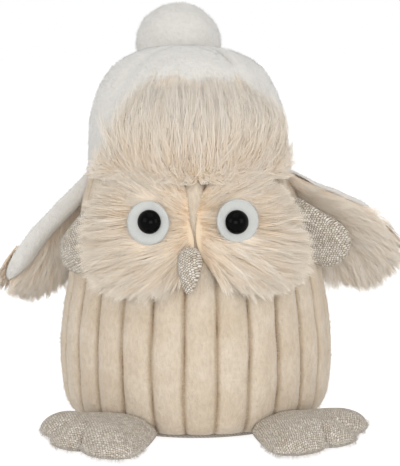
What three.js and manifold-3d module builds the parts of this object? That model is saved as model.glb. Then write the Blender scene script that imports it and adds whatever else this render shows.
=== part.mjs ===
// A plush owl in a fur-lined winter hat, standing on a flat weighted base.
// Millimetres, +Z up. The owl looks along -Y, so its own left is +X.
// The origin is the middle of the underside of the base.
import * as THREE from "three";
import { mergeVertices } from "three/addons/utils/BufferGeometryUtils.js";
import Module from "manifold-3d";

const wasm = await Module();
wasm.setup();

// Clearances
const SEAM_GAP = 0.4; // between pieces that are sewn or laid against each other
const SWING_GAP = 0.6; // between the ear flaps or the beak and what they swing past
const LIMB_GAP = 0.1; // between the wings or the feet and the highest ribs

// Body: a ribbed plush cover, filled with fibre, on a flat panel with a ballast bag
const BODY_WIDTH = 165;
const WIDEST_Z = 40;
const BASE_WIDTH = 133;
const HEAD_WIDTH = 115;
const HEAD_Z = 154; // the shoulders end and the dome of the head begins
const HEAD_TOP_Z = 222.7;
const HEAD_LEAN = 4.5; // how far the head sits towards the owl's right
const LEAN_START_Z = 96;
const BASE_ROUNDNESS = 2.7; // superellipse power of the curve from the base to the widest part
const SHOULDER_POWER = 1.9; // higher keeps the body wide for longer below the shoulders
const DOME_POWER = 2.8; // superellipse power of the head and the hat
const RIB_COUNT = 26;
const RIB_DEPTH = 2.6;
const RIB_SHARPNESS = 0.7; // lower makes flatter ribs with narrower grooves
const RIB_TURN = -4.7; // degrees from straight ahead to the nearest groove
const COVER_WALL = 4.4; // from a rib's crest to the back of the cloth
const PANEL_THICKNESS = 2.2;
const BALLAST_WIDTH = 100;
const BALLAST_HEIGHT = 24;

// Face: a fur disc round each eye, with a felt disc, a bead on a shank and a lock washer
const EYE_ANGLE = 19.3; // degrees to each side of the middle of the face
const FACE_TURN = 1; // degrees that the face is turned towards the owl's left
const EYE_PITCH = 6; // degrees that the eyes look up
const EYE_SEAT = 9.4; // from the rib crests to the back of the felt disc
const FACE_INNER = 22.5; // the fur disc's reach from the eye, towards the beak
const FACE_OUTER = 36.5;
const FACE_UP = 17.6;
const FACE_DOWN = 38;
const FACE_THICKNESS = 12.5;
const FACE_EDGE = 3.2;
const FACE_POWER = 2.1; // superellipse power of the disc's outline
const FELT_WIDTH = 25;
const FELT_THICKNESS = 2;
const BEAD_WIDTH = 14;
const BEAD_HEIGHT = 6.4;
const BEAD_RIM = 1; // below the widest part of the dome
const SHANK_WIDTH = 5;
const SHANK_BEVEL = 0.6;
const SHANK_TAIL = 3; // past the washer
const WASHER_WIDTH = 13;
const WASHER_HUB_WALL = 1.4;
const WASHER_THICKNESS = 2.4;
const WASHER_SLACK = 2.6; // behind the cover's cloth, which lies at a slant to the shank

// Beak: a small stuffed cone that hangs from its upper end
const BEAK_WIDTH = 16.5;
const BEAK_THICKNESS = 9.5;
const BEAK_LENGTH = 27.5;
const BEAK_TOP_Z = 115.5;
const BEAK_TOP_OFFSET = 9.6; // from the rib crests to the cone's middle
const BEAK_TIP_OFFSET = 6.2;
const BEAK_SLANT = 8; // degrees that the tip points towards the owl's right
const BEAK_MOUTH = 4.2; // from the upper end to the opening that the filling goes in by
const BEAK_LIFT = 40;

// Hat
const HAT_WALL = 3.4;
const HAT_HEM_Z = 151;
const GORE_COUNT = 4;
const GORE_SEAM_DEPTH = 1.3;
const GORE_SEAM_SHARPNESS = 24; // higher makes the dip at a seam narrower
const BRIM_HALF_SPREAD = 52; // degrees each way from the brim's middle
const BRIM_TURN = 5; // degrees that the brim is turned towards the owl's left
const BRIM_BOTTOM_Z = 153;
const BRIM_TOP_Z = 206;
const BRIM_THICKNESS = 15;
const BRIM_EDGE = 4;
const BRIM_POWER = 3.4; // superellipse power of the brim's outline
const BRIM_TAPER = 0.12; // the share that the brim's top is narrower, and its bottom wider
const BRIM_TOP_SLIM = 0.28; // the share that the brim is thinner at its top

// Pompom: a filled ball on a knot of thread, behind the top of the hat
const POMPOM_WIDTH = 56;
const POMPOM_WALL = 2.4;
const POMPOM_RISE = 39.5; // degrees up the dome of the hat
const POMPOM_TURN = 5; // degrees from straight back, towards the owl's right
const POMPOM_LIFT = 1; // from the hat to the ball
const KNOT_WIDTH = 6.4;

// Ear flaps: fleece outside and fur inside, sewn to the hat's hem
const FLAP_LENGTH = 91;
const FLAP_WIDTH = 50;
const FLAP_POWER = 2.6; // superellipse power of the flap's outline
const FLAP_ROOT_SHARE = 0.66; // the root's width as a share of the widest
const FLEECE_WALL = 3.6;
const FLAP_FUR = 11;
const FLAP_EDGE_SHARE = 0.35; // of the thickness in the middle that is left at the edge
const FLAP_CUP = 6; // how far the edges curl towards the fur side
const FLAP_ROOT_ANGLE = 102; // degrees round the hat
const FLAP_ROOT_RISE = 0.5; // above the hem
const FLAP_ROOT_SINK = 9; // how far the flap runs in before it is cut at the seam
const FLAP_ROOT_TWIST = 30; // degrees that the front edge is turned up at the root
const FLAP_TWIST_SHARE = 0.7; // of the length, in which the flap turns from that to the tip's angle
const FLAP_LIFT = 45;

// Wings: stuffed paddles sewn along the body's sides
const WING_LENGTH = 46;
const WING_WIDTH = 33;
const WING_THICKNESS = 14;
const WING_ROOT_SHARE = 0.6; // the upper end's width as a share of the widest
const WING_FLARE_SHARE = 0.75; // of the length, in which the wing grows to its full width
const WING_TOP_Z = 138;
const WING_SINK = 6; // how far the paddle's inner edge runs in before it is cut at the seam
const WING_FORWARD = 45;
const WING_BACK = 3;
const LIMB_WALL = 1.6;

// Feet: flat stuffed pads with three toes each
const FOOT_WIDTH = 95; // over the outer toes
const FOOT_REACH = 24; // from the foot's middle to the tip of its middle toe
const FOOT_BACK = 44; // from the middle back to under the body, before it is cut there
const FOOT_MIDDLE = 38; // how far out from the base the foot's middle is
const FOOT_THICKNESS = 19;
const FOOT_EDGE = 5.5;
const FRONT_POWER = 2.2; // superellipse power of the outline in front of the middle
const HEEL_POWER = 1.15; // and behind it, where the pad narrows to the heel
const TOE_SPREAD = 90; // degrees between neighbouring toes, round the middle of the pad
const TOE_DEPTH = 9;
const TOE_ROUNDNESS = 0.7; // lower makes narrower clefts between the toes
const TOE_SLIM = 0.3; // the share that the pad is thinner at the toes
const FILLING_DRAW = 1.6; // times the inset that the filling is drawn in, as the outline is steep
const SOLE_RISE = 1.2;
const ANKLE_Z = 3;
const FOOT_RAISE = 16;

// What differs from one side to the other, as the soft limbs fall on a real one
const SIDES = [
  {
    name: "left",
    sign: 1,
    eyeZ: 129,
    footAngle: 42, // degrees round the base to the foot's middle
    footTurn: 58, // degrees from straight ahead to where the foot points
    wingAngle: 72, // degrees round the body
    wingYaw: 10, // degrees that the wing's outer edge is turned back
    flapDroop: 42, // degrees below level
    flapTwist: 70, // degrees that the front edge is turned up at the tip
  },
  {
    name: "right",
    sign: -1,
    eyeZ: 128,
    footAngle: 35,
    footTurn: 59,
    wingAngle: 54,
    wingYaw: 38,
    flapDroop: 55,
    flapTwist: 40,
  },
];

// Fineness
const POINTS_PER_RIB = 3;
const POINTS_PER_GORE = 10;
const BOTTOM_STEPS = 4;
const SHOULDER_STEPS = 6;
const DOME_STEPS = 5;
const BALLAST_SEGMENTS = 18;

const { degToRad, lerp, smoothstep } = THREE.MathUtils;
const UP = new THREE.Vector3(0, 0, 1);
const FORWARD = new THREE.Vector3(0, -1, 0);

const BASE_RADIUS = BASE_WIDTH / 2;
const BODY_RADIUS = BODY_WIDTH / 2;
const HEAD_RADIUS = HEAD_WIDTH / 2;
const COVER_BOTTOM_Z = PANEL_THICKNESS + SEAM_GAP;
const RIB_SAG = BODY_RADIUS * (1 - Math.cos(Math.PI / RIB_COUNT)); // of a flat facet over a rib

/** Whole numbers from first to last. */
const count = (first, last) => Array.from({ length: last - first + 1 }, (_, i) => first + i);

// Shape of the body, as the radius over the rib crests at each height

/** A point of the head's dome, or of a larger dome round it: [radius, height]. */
function domePoint(rise, grow) {
  const share = 2 / DOME_POWER;
  const radius = (HEAD_RADIUS + grow) * Math.cos(rise) ** share;
  return [radius, HEAD_Z + (HEAD_TOP_Z - HEAD_Z + grow) * Math.sin(rise) ** share];
}

function crestRadius(z) {
  if (z <= WIDEST_Z) {
    const down = Math.min((WIDEST_Z - z) / (WIDEST_Z - COVER_BOTTOM_Z), 1);
    const bulge = (1 - down ** BASE_ROUNDNESS) ** (1 / BASE_ROUNDNESS);
    return lerp(BASE_RADIUS, BODY_RADIUS, bulge);
  }
  if (z <= HEAD_Z) {
    const up = (z - WIDEST_Z) / (HEAD_Z - WIDEST_Z);
    return lerp(BODY_RADIUS, HEAD_RADIUS, up ** SHOULDER_POWER);
  }
  const up = Math.min((z - HEAD_Z) / (HEAD_TOP_Z - HEAD_Z), 1);
  return HEAD_RADIUS * (1 - up ** DOME_POWER) ** (1 / DOME_POWER);
}

/** How far the body's middle is moved sideways at a height. */
const leanAt = (z) => -HEAD_LEAN * smoothstep(z, LEAN_START_Z, HEAD_Z);

/** A level direction at an angle from straight ahead, which grows towards +X. */
const heading = (angle) => new THREE.Vector3(Math.sin(angle), -Math.cos(angle), 0);

/** A point at a radius round the body's middle. */
const aroundBody = (angle, radius, z) =>
  heading(angle).multiplyScalar(radius).add(new THREE.Vector3(leanAt(z), 0, z));

/** A point at a distance outside the rib crests. */
const onBody = (angle, z, offset) => aroundBody(angle, crestRadius(z) + offset, z);

/** A point at a distance outside the hat. */
function onHat(angle, z, offset) {
  return aroundBody(angle, crestRadius(z) + SEAM_GAP + HAT_WALL + offset, z);
}

const circleOf = (segments, pointAt) =>
  count(0, segments - 1).map((i) => pointAt((i / segments) * 2 * Math.PI));

// Solids

/** Joins a ring of points to the next, which may have another number of points or just one. */
function joinRings(index, a, aCount, b, bCount) {
  let i = 0;
  let j = 0;
  while (i < aCount || j < bCount) {
    const alongA = j >= bCount || (i < aCount && (i + 1) / aCount <= (j + 1) / bCount);
    if (alongA && aCount > 1) index.push(a + (i % aCount), a + ((i + 1) % aCount), b + (j % bCount));
    if (!alongA && bCount > 1) index.push(a + (i % aCount), b + ((j + 1) % bCount), b + (j % bCount));
    if (alongA) i += 1;
    else j += 1;
  }
}

/** A closed surface through rings of points, from one end point to the other. */
function ringStack(rings) {
  const index = [];
  let start = 0;
  for (let k = 0; k + 1 < rings.length; k += 1) {
    const next = start + rings[k].length;
    joinRings(index, start, rings[k].length, next, rings[k + 1].length);
    start = next;
  }
  const geometry = new THREE.BufferGeometry().setFromPoints(rings.flat());
  geometry.setIndex(index);
  return geometry;
}

/** A solid of a closed geometry. A mirrored one is inside out, so its faces are turned round. */
function solidOf(geometry) {
  geometry.deleteAttribute("normal");
  geometry.deleteAttribute("uv");
  const merged = mergeVertices(geometry, 1e-4);
  const vertProperties = new Float32Array(merged.attributes.position.array);
  const triVerts = new Uint32Array(merged.index.array);
  const made = new wasm.Manifold(new wasm.Mesh({ numProp: 3, vertProperties, triVerts }));
  if (made.volume() > 0) return made;
  return new wasm.Manifold(
    new wasm.Mesh({ numProp: 3, vertProperties, triVerts: triVerts.reverse() }),
  );
}

const moved = (solid, matrix) => solid.transform(matrix.elements);

/** A turn by an angle about a line through a point. */
function turnAbout(point, axis, angle) {
  const turn = new THREE.Matrix4().makeRotationAxis(axis.clone().normalize(), angle);
  const there = new THREE.Matrix4().makeTranslation(point);
  const back = new THREE.Matrix4().makeTranslation(point.clone().negate());
  return there.multiply(turn).multiply(back);
}

/** Cuts away from a limb what stands in its way as it swings from one angle to another. */
function clearSwing(limb, obstacle, hinge, from, to, steps) {
  return count(0, steps).reduce((left, k) => {
    const angle = degToRad(lerp(from, to, k / steps));
    return left.subtract(moved(obstacle, turnAbout(hinge.point, hinge.axis, -angle)));
  }, limb);
}

function meshOf(name, solid, material) {
  const { numProp, vertProperties, triVerts } = solid.getMesh();
  const geometry = new THREE.BufferGeometry();
  const positions = new Float32Array((vertProperties.length / numProp) * 3);
  for (let i = 0; i * numProp < vertProperties.length; i += 1) {
    positions.set(vertProperties.subarray(i * numProp, i * numProp + 3), i * 3);
  }
  geometry.setAttribute("position", new THREE.BufferAttribute(positions, 3));
  geometry.setIndex(new THREE.BufferAttribute(triVerts, 1));
  geometry.computeVertexNormals();
  const mesh = new THREE.Mesh(geometry, material);
  mesh.name = name;
  return mesh;
}

/** A solid of revolution about Z, from [radius, height] points that go up the outside. */
function revolved(profile, segments) {
  const points = profile.map(([r, z]) => new THREE.Vector2(r, z));
  return solidOf(new THREE.LatheGeometry(points, segments).rotateX(Math.PI / 2));
}

const superellipse = (halfA, halfB, power) => (phi) => {
  const reach =
    (Math.abs(Math.cos(phi) / halfA) ** power + Math.abs(Math.sin(phi) / halfB) ** power) **
    (-1 / power);
  return [reach * Math.cos(phi), reach * Math.sin(phi)];
};

/**
 * A soft pad: out along its back from the middle to the outline, and in again along its front.
 * outline(phi) gives a point of the flat pattern, and place(a, b, height) lays it where it belongs.
 */
function pad({ outline, place, front, back, segments, rings }) {
  const shares = count(1, rings).map((k) => Math.sin(((k / rings) * Math.PI) / 2));
  const ring = (share, heightAt) =>
    circleOf(segments, (phi) => {
      const [a, b] = outline(phi);
      return place(a * share, b * share, heightAt(share, phi));
    });
  return solidOf(
    ringStack([
      [place(0, 0, back(0, 0))],
      ...shares.map((share) => ring(share, back)),
      ...shares.toReversed().map((share) => ring(share, front)),
      [place(0, 0, front(0, 0))],
    ]),
  );
}

/** The height of a pad that is full in the middle and rounds down to its edge. */
const crown = (full, edge, power) => (share) =>
  edge + (full - edge) * (1 - share ** 2) ** power;

/**
 * A stuffed limb lofted along t from 0 to 1. at(t) gives its middle, and its width and thickness
 * as vectors from the middle to the edge.
 */
function limb(at, segments, rings) {
  const sections = count(1, rings - 1).map((k) => {
    const { middle, across, through } = at((1 - Math.cos((k / rings) * Math.PI)) / 2);
    return circleOf(segments, (phi) =>
      middle
        .clone()
        .addScaledVector(across, Math.cos(phi))
        .addScaledVector(through, Math.sin(phi)),
    );
  });
  return solidOf(ringStack([[at(0).middle], ...sections, [at(1).middle]]));
}

// The body and the head in it

/** Radius and height of each ring of the body, closer where it curves more. */
function bodyLevels(offset) {
  const rise = (k, steps) => ((k / steps) * Math.PI) / 2;
  const sides = [
    ...count(0, BOTTOM_STEPS).map(
      (k) => WIDEST_Z - (WIDEST_Z - COVER_BOTTOM_Z) * Math.cos(rise(k, BOTTOM_STEPS)),
    ),
    ...count(1, SHOULDER_STEPS - 1).map((k) => lerp(WIDEST_Z, HEAD_Z, k / SHOULDER_STEPS)),
  ].map((z) => [crestRadius(z) + offset, z]);
  const dome = count(0, DOME_STEPS - 1).map((k) => domePoint(rise(k, DOME_STEPS), offset));
  return [...sides, ...dome];
}

/** A ring of points that starts at the groove nearest to straight ahead. */
const bodyRing = (segments, pointAt) =>
  circleOf(segments, (angle) => pointAt(angle + degToRad(RIB_TURN)));

/** A plain solid a distance outside the rib crests, drawn out downwards below the cover. */
function bodyForm(offset, drop) {
  const rings = bodyLevels(offset).map(([radius, z]) =>
    bodyRing(RIB_COUNT, (angle) => aroundBody(angle, radius, z)),
  );
  const bottomZ = COVER_BOTTOM_Z - drop;
  const foot = bodyRing(RIB_COUNT, (angle) => aroundBody(angle, BASE_RADIUS + offset, bottomZ));
  const below = drop > 0 ? [[aroundBody(0, 0, bottomZ)], foot] : [[aroundBody(0, 0, bottomZ)]];
  return solidOf(ringStack([...below, ...rings, [aroundBody(0, 0, HEAD_TOP_Z + offset)]]));
}

/** How deep the cloth lies below the crest at an angle round a rib: sharp grooves, round crests. */
function ribDip(angle, z) {
  const pressedFlat = 1 - smoothstep(z, HAT_HEM_Z - 10, HAT_HEM_Z);
  const across = ((angle - degToRad(RIB_TURN)) * RIB_COUNT) / (2 * Math.PI);
  return RIB_DEPTH * pressedFlat * (1 - Math.abs(Math.sin(Math.PI * across)) ** RIB_SHARPNESS);
}

/** The ribbed cover: a sleeve that is closed over the head and open at the base. */
function coverSolid(eyes) {
  const rings = bodyLevels(0).map(([radius, z]) => {
    const points = z < HEAD_Z ? POINTS_PER_RIB : 1;
    return bodyRing(RIB_COUNT * points, (angle) => aroundBody(angle, radius - ribDip(angle, z), z));
  });
  const whole = solidOf(
    ringStack([
      [aroundBody(0, 0, COVER_BOTTOM_Z)],
      ...rings,
      [aroundBody(0, 0, HEAD_TOP_Z)],
    ]),
  );
  const shell = whole.subtract(bodyForm(-COVER_WALL, COVER_WALL));
  return eyes.reduce((left, eye) => left.subtract(eye.shankHole), shell);
}

const basePanelSolid = () =>
  revolved(
    [
      [0, 0],
      [BASE_RADIUS - 1, 0],
      [BASE_RADIUS, 1],
      [BASE_RADIUS, PANEL_THICKNESS],
      [0, PANEL_THICKNESS],
    ],
    RIB_COUNT,
  );

/** The bag of granulate that keeps the owl upright, or the hollow that it lies in. */
function ballastSolid(grow) {
  const bottom = PANEL_THICKNESS + SEAM_GAP;
  const middle = bottom + BALLAST_HEIGHT / 2;
  const steps = 6;
  const side = count(1, steps - 1).map((k) => {
    const angle = lerp(-Math.PI / 2, Math.PI / 2, k / steps);
    const across = (BALLAST_WIDTH / 2 + grow) * Math.cos(angle) ** 0.5;
    const up = (BALLAST_HEIGHT / 2 + grow) * Math.sign(Math.sin(angle));
    return [across, middle + up * Math.abs(Math.sin(angle)) ** 0.8];
  });
  const half = BALLAST_HEIGHT / 2 + grow;
  return revolved([[0, middle - half], ...side, [0, middle + half]], BALLAST_SEGMENTS);
}

/** The fibre inside the cover, with room for the ballast and for the eyes' shanks and washers. */
function fillingSolid(eyes) {
  const whole = bodyForm(-COVER_WALL - SEAM_GAP, 0);
  const hollowed = whole.subtract(ballastSolid(SEAM_GAP));
  return eyes.reduce((left, eye) => left.subtract(eye.pocket), hollowed);
}

// The face

/** One eye: where it sits, and the tools that cut its seat, its shank's hole and its pocket. */
function makeEye(side) {
  const angle = degToRad(FACE_TURN + side.sign * EYE_ANGLE);
  const seat = onBody(angle, side.eyeZ, EYE_SEAT);
  const outward = heading(angle);
  outward.multiplyScalar(Math.cos(degToRad(EYE_PITCH)));
  outward.addScaledVector(UP, Math.sin(degToRad(EYE_PITCH)));
  const placed = new THREE.Matrix4().compose(
    seat,
    new THREE.Quaternion().setFromUnitVectors(UP, outward),
    new THREE.Vector3(1, 1, 1),
  );
  const washerFront = -(EYE_SEAT + COVER_WALL + WASHER_SLACK);
  const washerBack = washerFront - WASHER_THICKNESS;
  const tail = washerBack - SHANK_TAIL;
  const rod = (radius, from, to, segments) => {
    const geometry = new THREE.CylinderGeometry(radius, radius, to - from, segments);
    geometry.rotateX(Math.PI / 2).translate(0, 0, (from + to) / 2);
    return moved(solidOf(geometry), placed);
  };
  const pastFace = FACE_THICKNESS + BEAD_HEIGHT;
  const shankRadius = SHANK_WIDTH / 2;
  const washerRadius = WASHER_WIDTH / 2;
  return {
    side,
    placed,
    washerFront,
    washerBack,
    tail,
    seatCut: rod(FELT_WIDTH / 2 + SEAM_GAP, 0, pastFace, 18),
    shankHole: rod(shankRadius + SEAM_GAP, tail - SEAM_GAP, pastFace, 10),
    pocket: rod(washerRadius + SEAM_GAP, washerBack - SEAM_GAP, 0, 12).add(
      rod(shankRadius + SEAM_GAP, tail - SEAM_GAP, 0, 10),
    ),
  };
}

/** The fur disc round an eye. Its outline is longer on the outer side and below. */
function faceDiscSolid(eye, beakRoom) {
  const { sign, eyeZ } = eye.side;
  const middleA = (FACE_OUTER - FACE_INNER) / 2;
  const middleB = (FACE_UP - FACE_DOWN) / 2;
  const aroundRadius = crestRadius(eyeZ);
  const disc = pad({
    outline: superellipse((FACE_OUTER + FACE_INNER) / 2, (FACE_UP + FACE_DOWN) / 2, FACE_POWER),
    place: (a, b, height) => {
      const angle = degToRad(EYE_ANGLE) + (a + middleA) / aroundRadius;
      return onBody(degToRad(FACE_TURN) + sign * angle, eyeZ + middleB + b, height);
    },
    front: crown(FACE_THICKNESS, FACE_EDGE, 0.55),
    back: () => SEAM_GAP,
    segments: 24,
    rings: 3,
  });
  return disc.subtract(eye.seatCut).subtract(eye.shankHole).subtract(beakRoom);
}

function feltDisc() {
  const hole = SHANK_WIDTH / 2 + SEAM_GAP;
  const edge = FELT_WIDTH / 2;
  const bottom = SEAM_GAP;
  const top = SEAM_GAP + FELT_THICKNESS;
  const soft = FELT_THICKNESS * 0.4;
  return revolved(
    [
      [hole, bottom],
      [edge - soft, bottom],
      [edge, bottom + soft],
      [edge, top - soft],
      [edge - soft, top],
      [hole, top],
      [hole, bottom],
    ],
    18,
  );
}

/** The black bead: a domed head and the ribbed shank that goes through the face. */
function eyeBead(eye) {
  const radius = BEAD_WIDTH / 2;
  const bottom = FELT_THICKNESS + 2 * SEAM_GAP;
  const dome = count(0, 3).map((k) => {
    const angle = ((k / 4) * Math.PI) / 2;
    return [
      radius * Math.cos(angle),
      bottom + BEAD_RIM + (BEAD_HEIGHT - BEAD_RIM) * Math.sin(angle),
    ];
  });
  const shank = SHANK_WIDTH / 2;
  return revolved(
    [
      [0, eye.tail],
      [shank - SHANK_BEVEL, eye.tail],
      [shank, eye.tail + SHANK_BEVEL],
      [shank, bottom],
      [radius - BEAD_RIM / 2, bottom],
      ...dome,
      [0, bottom + BEAD_HEIGHT],
    ],
    16,
  );
}

function lockWasher(eye) {
  const hole = SHANK_WIDTH / 2 + SEAM_GAP / 2;
  const hub = hole + WASHER_HUB_WALL;
  const rim = WASHER_WIDTH / 2;
  const plate = (eye.washerFront + eye.washerBack) / 2;
  return revolved(
    [
      [hole, eye.washerBack],
      [hub, eye.washerBack],
      [hub, plate],
      [rim, plate],
      [rim, eye.washerFront],
      [hole, eye.washerFront],
      [hole, eye.washerBack],
    ],
    12,
  );
}

// The beak

/** Where the beak hangs, and its form made smaller by an inset or larger by a negative one. */
function makeBeak() {
  const tipZ = BEAK_TOP_Z - BEAK_LENGTH * Math.cos(degToRad(BEAK_SLANT));
  const slant = BEAK_LENGTH * Math.sin(degToRad(BEAK_SLANT));
  const top = onBody(0, BEAK_TOP_Z, BEAK_TOP_OFFSET);
  const tip = onBody(-slant / crestRadius(tipZ), tipZ, BEAK_TIP_OFFSET);
  const along = tip.clone().sub(top).normalize();
  const across = new THREE.Vector3().crossVectors(FORWARD, along).normalize();
  const through = new THREE.Vector3().crossVectors(along, across);
  const form = (inset, segments, rings) =>
    limb(
      (t) => {
        const swell = (4 * t * (1 - t)) ** 0.5 * (1.12 - 0.62 * t);
        return {
          middle: top.clone().addScaledVector(along, lerp(inset, BEAK_LENGTH - inset, t)),
          across: across.clone().multiplyScalar((BEAK_WIDTH / 2) * swell - inset * swell),
          through: through.clone().multiplyScalar((BEAK_THICKNESS / 2 - inset) * swell),
        };
      },
      segments,
      rings,
    );
  const hinge = {
    point: onBody(0, BEAK_TOP_Z, BEAK_TOP_OFFSET - BEAK_THICKNESS / 4),
    axis: new THREE.Vector3(-1, 0, 0),
  };
  const room = count(0, 2)
    .map((k) => turnAbout(hinge.point, hinge.axis, degToRad((BEAK_LIFT * k) / 2)))
    .map((turn) => moved(form(-SWING_GAP, 10, 6), turn))
    .reduce((all, one) => all.add(one));
  const mouth = top.clone().addScaledVector(along, BEAK_MOUTH);
  return { form, hinge, room, mouth, along };
}

// The hat

/** Rings up the hat from its hem, a distance outside the rib crests. */
function hatRings(offset, segments, dipAt) {
  const hem = bodyRing(segments, (angle) => onBody(angle, HAT_HEM_Z, offset));
  const dome = count(0, DOME_STEPS - 1).map((k) => {
    const [radius, z] = domePoint(((k / DOME_STEPS) * Math.PI) / 2, offset);
    return bodyRing(segments, (angle) => aroundBody(angle, radius - dipAt(angle), z));
  });
  return [hem, ...dome];
}

/** A solid dome over the head down to the hat's hem. */
function hatForm(offset, dipAt) {
  return solidOf(
    ringStack([
      [aroundBody(0, 0, HAT_HEM_Z)],
      ...hatRings(offset, GORE_COUNT * POINTS_PER_GORE, dipAt),
      [aroundBody(0, 0, HEAD_TOP_Z + offset)],
    ]),
  );
}

/** The fleece crown of the hat: a dome of sewn gores, open below for the head. */
function hatSolid(pompom) {
  const seamDip = (angle) => {
    const across = ((angle - degToRad(RIB_TURN)) * GORE_COUNT) / (2 * Math.PI);
    return GORE_SEAM_DEPTH * Math.abs(Math.sin(Math.PI * across)) ** GORE_SEAM_SHARPNESS;
  };
  const head = bodyForm(SEAM_GAP, 0);
  return hatForm(SEAM_GAP + HAT_WALL, seamDip)
    .subtract(head)
    .subtract(pompom.knotHole);
}

/** The turned-up fur brim, a thick pad round the front of the hat. */
function brimSolid(hat) {
  const middleZ = (BRIM_TOP_Z + BRIM_BOTTOM_Z) / 2;
  const half = (BRIM_TOP_Z - BRIM_BOTTOM_Z) / 2;
  const reach = degToRad(BRIM_HALF_SPREAD) * HEAD_RADIUS;
  const full = crown(BRIM_THICKNESS, BRIM_EDGE, 0.5);
  const roll = pad({
    outline: superellipse(reach, half, BRIM_POWER),
    place: (a, b, height) => {
      const across = a * (1 - (BRIM_TAPER * b) / half);
      return onHat(degToRad(BRIM_TURN) + across / HEAD_RADIUS, middleZ + b, height);
    },
    // the roll is thickest low down, and the hair tips lie against the crown above
    front: (share, phi) => full(share) * (1 - BRIM_TOP_SLIM * share * Math.sin(phi)),
    back: () => -HAT_WALL / 2,
    segments: 30,
    rings: 3,
  });
  return roll.subtract(hat);
}

// The pompom

function makePompom() {
  const angle = Math.PI + degToRad(POMPOM_TURN);
  const grow = SEAM_GAP + HAT_WALL;
  const rise = degToRad(POMPOM_RISE);
  const [radius, z] = domePoint(rise, grow);
  const [nextRadius, nextZ] = domePoint(rise + 1e-3, grow);
  const pivot = aroundBody(angle, radius, z);
  const slope = aroundBody(angle, nextRadius, nextZ).sub(pivot).normalize();
  const round = new THREE.Vector3(Math.cos(angle), Math.sin(angle), 0);
  const outward = new THREE.Vector3().crossVectors(round, slope).normalize();
  const placed = new THREE.Matrix4().compose(
    pivot,
    new THREE.Quaternion().setFromUnitVectors(UP, outward),
    new THREE.Vector3(1, 1, 1),
  );
  const hole = new THREE.SphereGeometry(KNOT_WIDTH / 2 + SEAM_GAP, 10, 6);
  return { pivot, outward, placed, knotHole: moved(solidOf(hole), placed) };
}

const ball = (radius, height, segments, rings) =>
  solidOf(
    new THREE.SphereGeometry(radius, segments, rings)
      .rotateX(Math.PI / 2)
      .translate(0, 0, height),
  );

/** The pompom's cover is a ball with a gathered mouth, where the knot holds it. */
function pompomSolids() {
  const radius = POMPOM_WIDTH / 2;
  const middle = POMPOM_LIFT + radius;
  const neck = ball(KNOT_WIDTH / 2 + SEAM_GAP, 0, 10, 6);
  const inside = ball(radius - POMPOM_WALL, middle, 12, 8);
  const filling = ball(radius - POMPOM_WALL - SEAM_GAP, middle, 12, 8);
  const cover = ball(radius, middle, 22, 12).subtract(inside).subtract(neck);
  return { cover, filling: filling.subtract(neck) };
}

// The ear flaps

function makeFlap(side) {
  const { sign } = side;
  const rootAt = (offset) =>
    onHat(sign * degToRad(FLAP_ROOT_ANGLE), HAT_HEM_Z, offset).addScaledVector(UP, FLAP_ROOT_RISE);
  const root = rootAt(-FLAP_ROOT_SINK);
  const droop = degToRad(side.flapDroop);
  const along = new THREE.Vector3(sign * Math.cos(droop), 0, -Math.sin(droop));
  const lifted = new THREE.Vector3(sign * Math.sin(droop), 0, Math.cos(droop));
  const half = FLAP_WIDTH / 2;
  const middle = FLAP_LENGTH / 2;
  /** A point of the flap: a runs from the middle towards the tip, b to the front edge. */
  const place = (a, b, height) => {
    const t = (a + middle) / FLAP_LENGTH;
    const twist = degToRad(lerp(FLAP_ROOT_TWIST, side.flapTwist, smoothstep(t, 0, FLAP_TWIST_SHARE)));
    const width = FORWARD.clone().multiplyScalar(Math.cos(twist));
    width.addScaledVector(lifted, Math.sin(twist));
    const outer = lifted.clone().multiplyScalar(Math.cos(twist));
    outer.addScaledVector(FORWARD, -Math.sin(twist));
    const curl = FLAP_CUP * (b / half) ** 2;
    return root
      .clone()
      .addScaledVector(along, a + middle)
      .addScaledVector(width, b)
      .addScaledVector(outer, height - curl);
  };
  const hinge = { point: rootAt(0), axis: new THREE.Vector3(0, -sign, 0) };
  return { place, hinge };
}

/** The flap's tongue-shaped pattern: narrow at the seam, full and round at the end. */
function flapOutline(margin) {
  const full = superellipse(FLAP_LENGTH / 2 - margin, FLAP_WIDTH / 2 - margin, FLAP_POWER);
  return (phi) => {
    const [a, b] = full(phi);
    const t = smoothstep(a, -FLAP_LENGTH / 2, FLAP_LENGTH / 4);
    return [a, b * lerp(FLAP_ROOT_SHARE, 1, t)];
  };
}

function flapSolids(flap, obstacle) {
  const layer = (margin, from, to, power) =>
    pad({
      outline: flapOutline(margin),
      place: flap.place,
      front: (share) => from + (to - from) * lerp(FLAP_EDGE_SHARE, 1, (1 - share ** 2) ** power),
      back: () => from,
      segments: 24,
      rings: 3,
    });
  const clear = (solid) => clearSwing(solid, obstacle, flap.hinge, 0, FLAP_LIFT, 5);
  return {
    fleece: clear(layer(0, 0, FLEECE_WALL, 0.5)),
    fur: clear(layer(1, -SEAM_GAP, -SEAM_GAP - FLAP_FUR, 0.5)),
  };
}

// The wings

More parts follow.
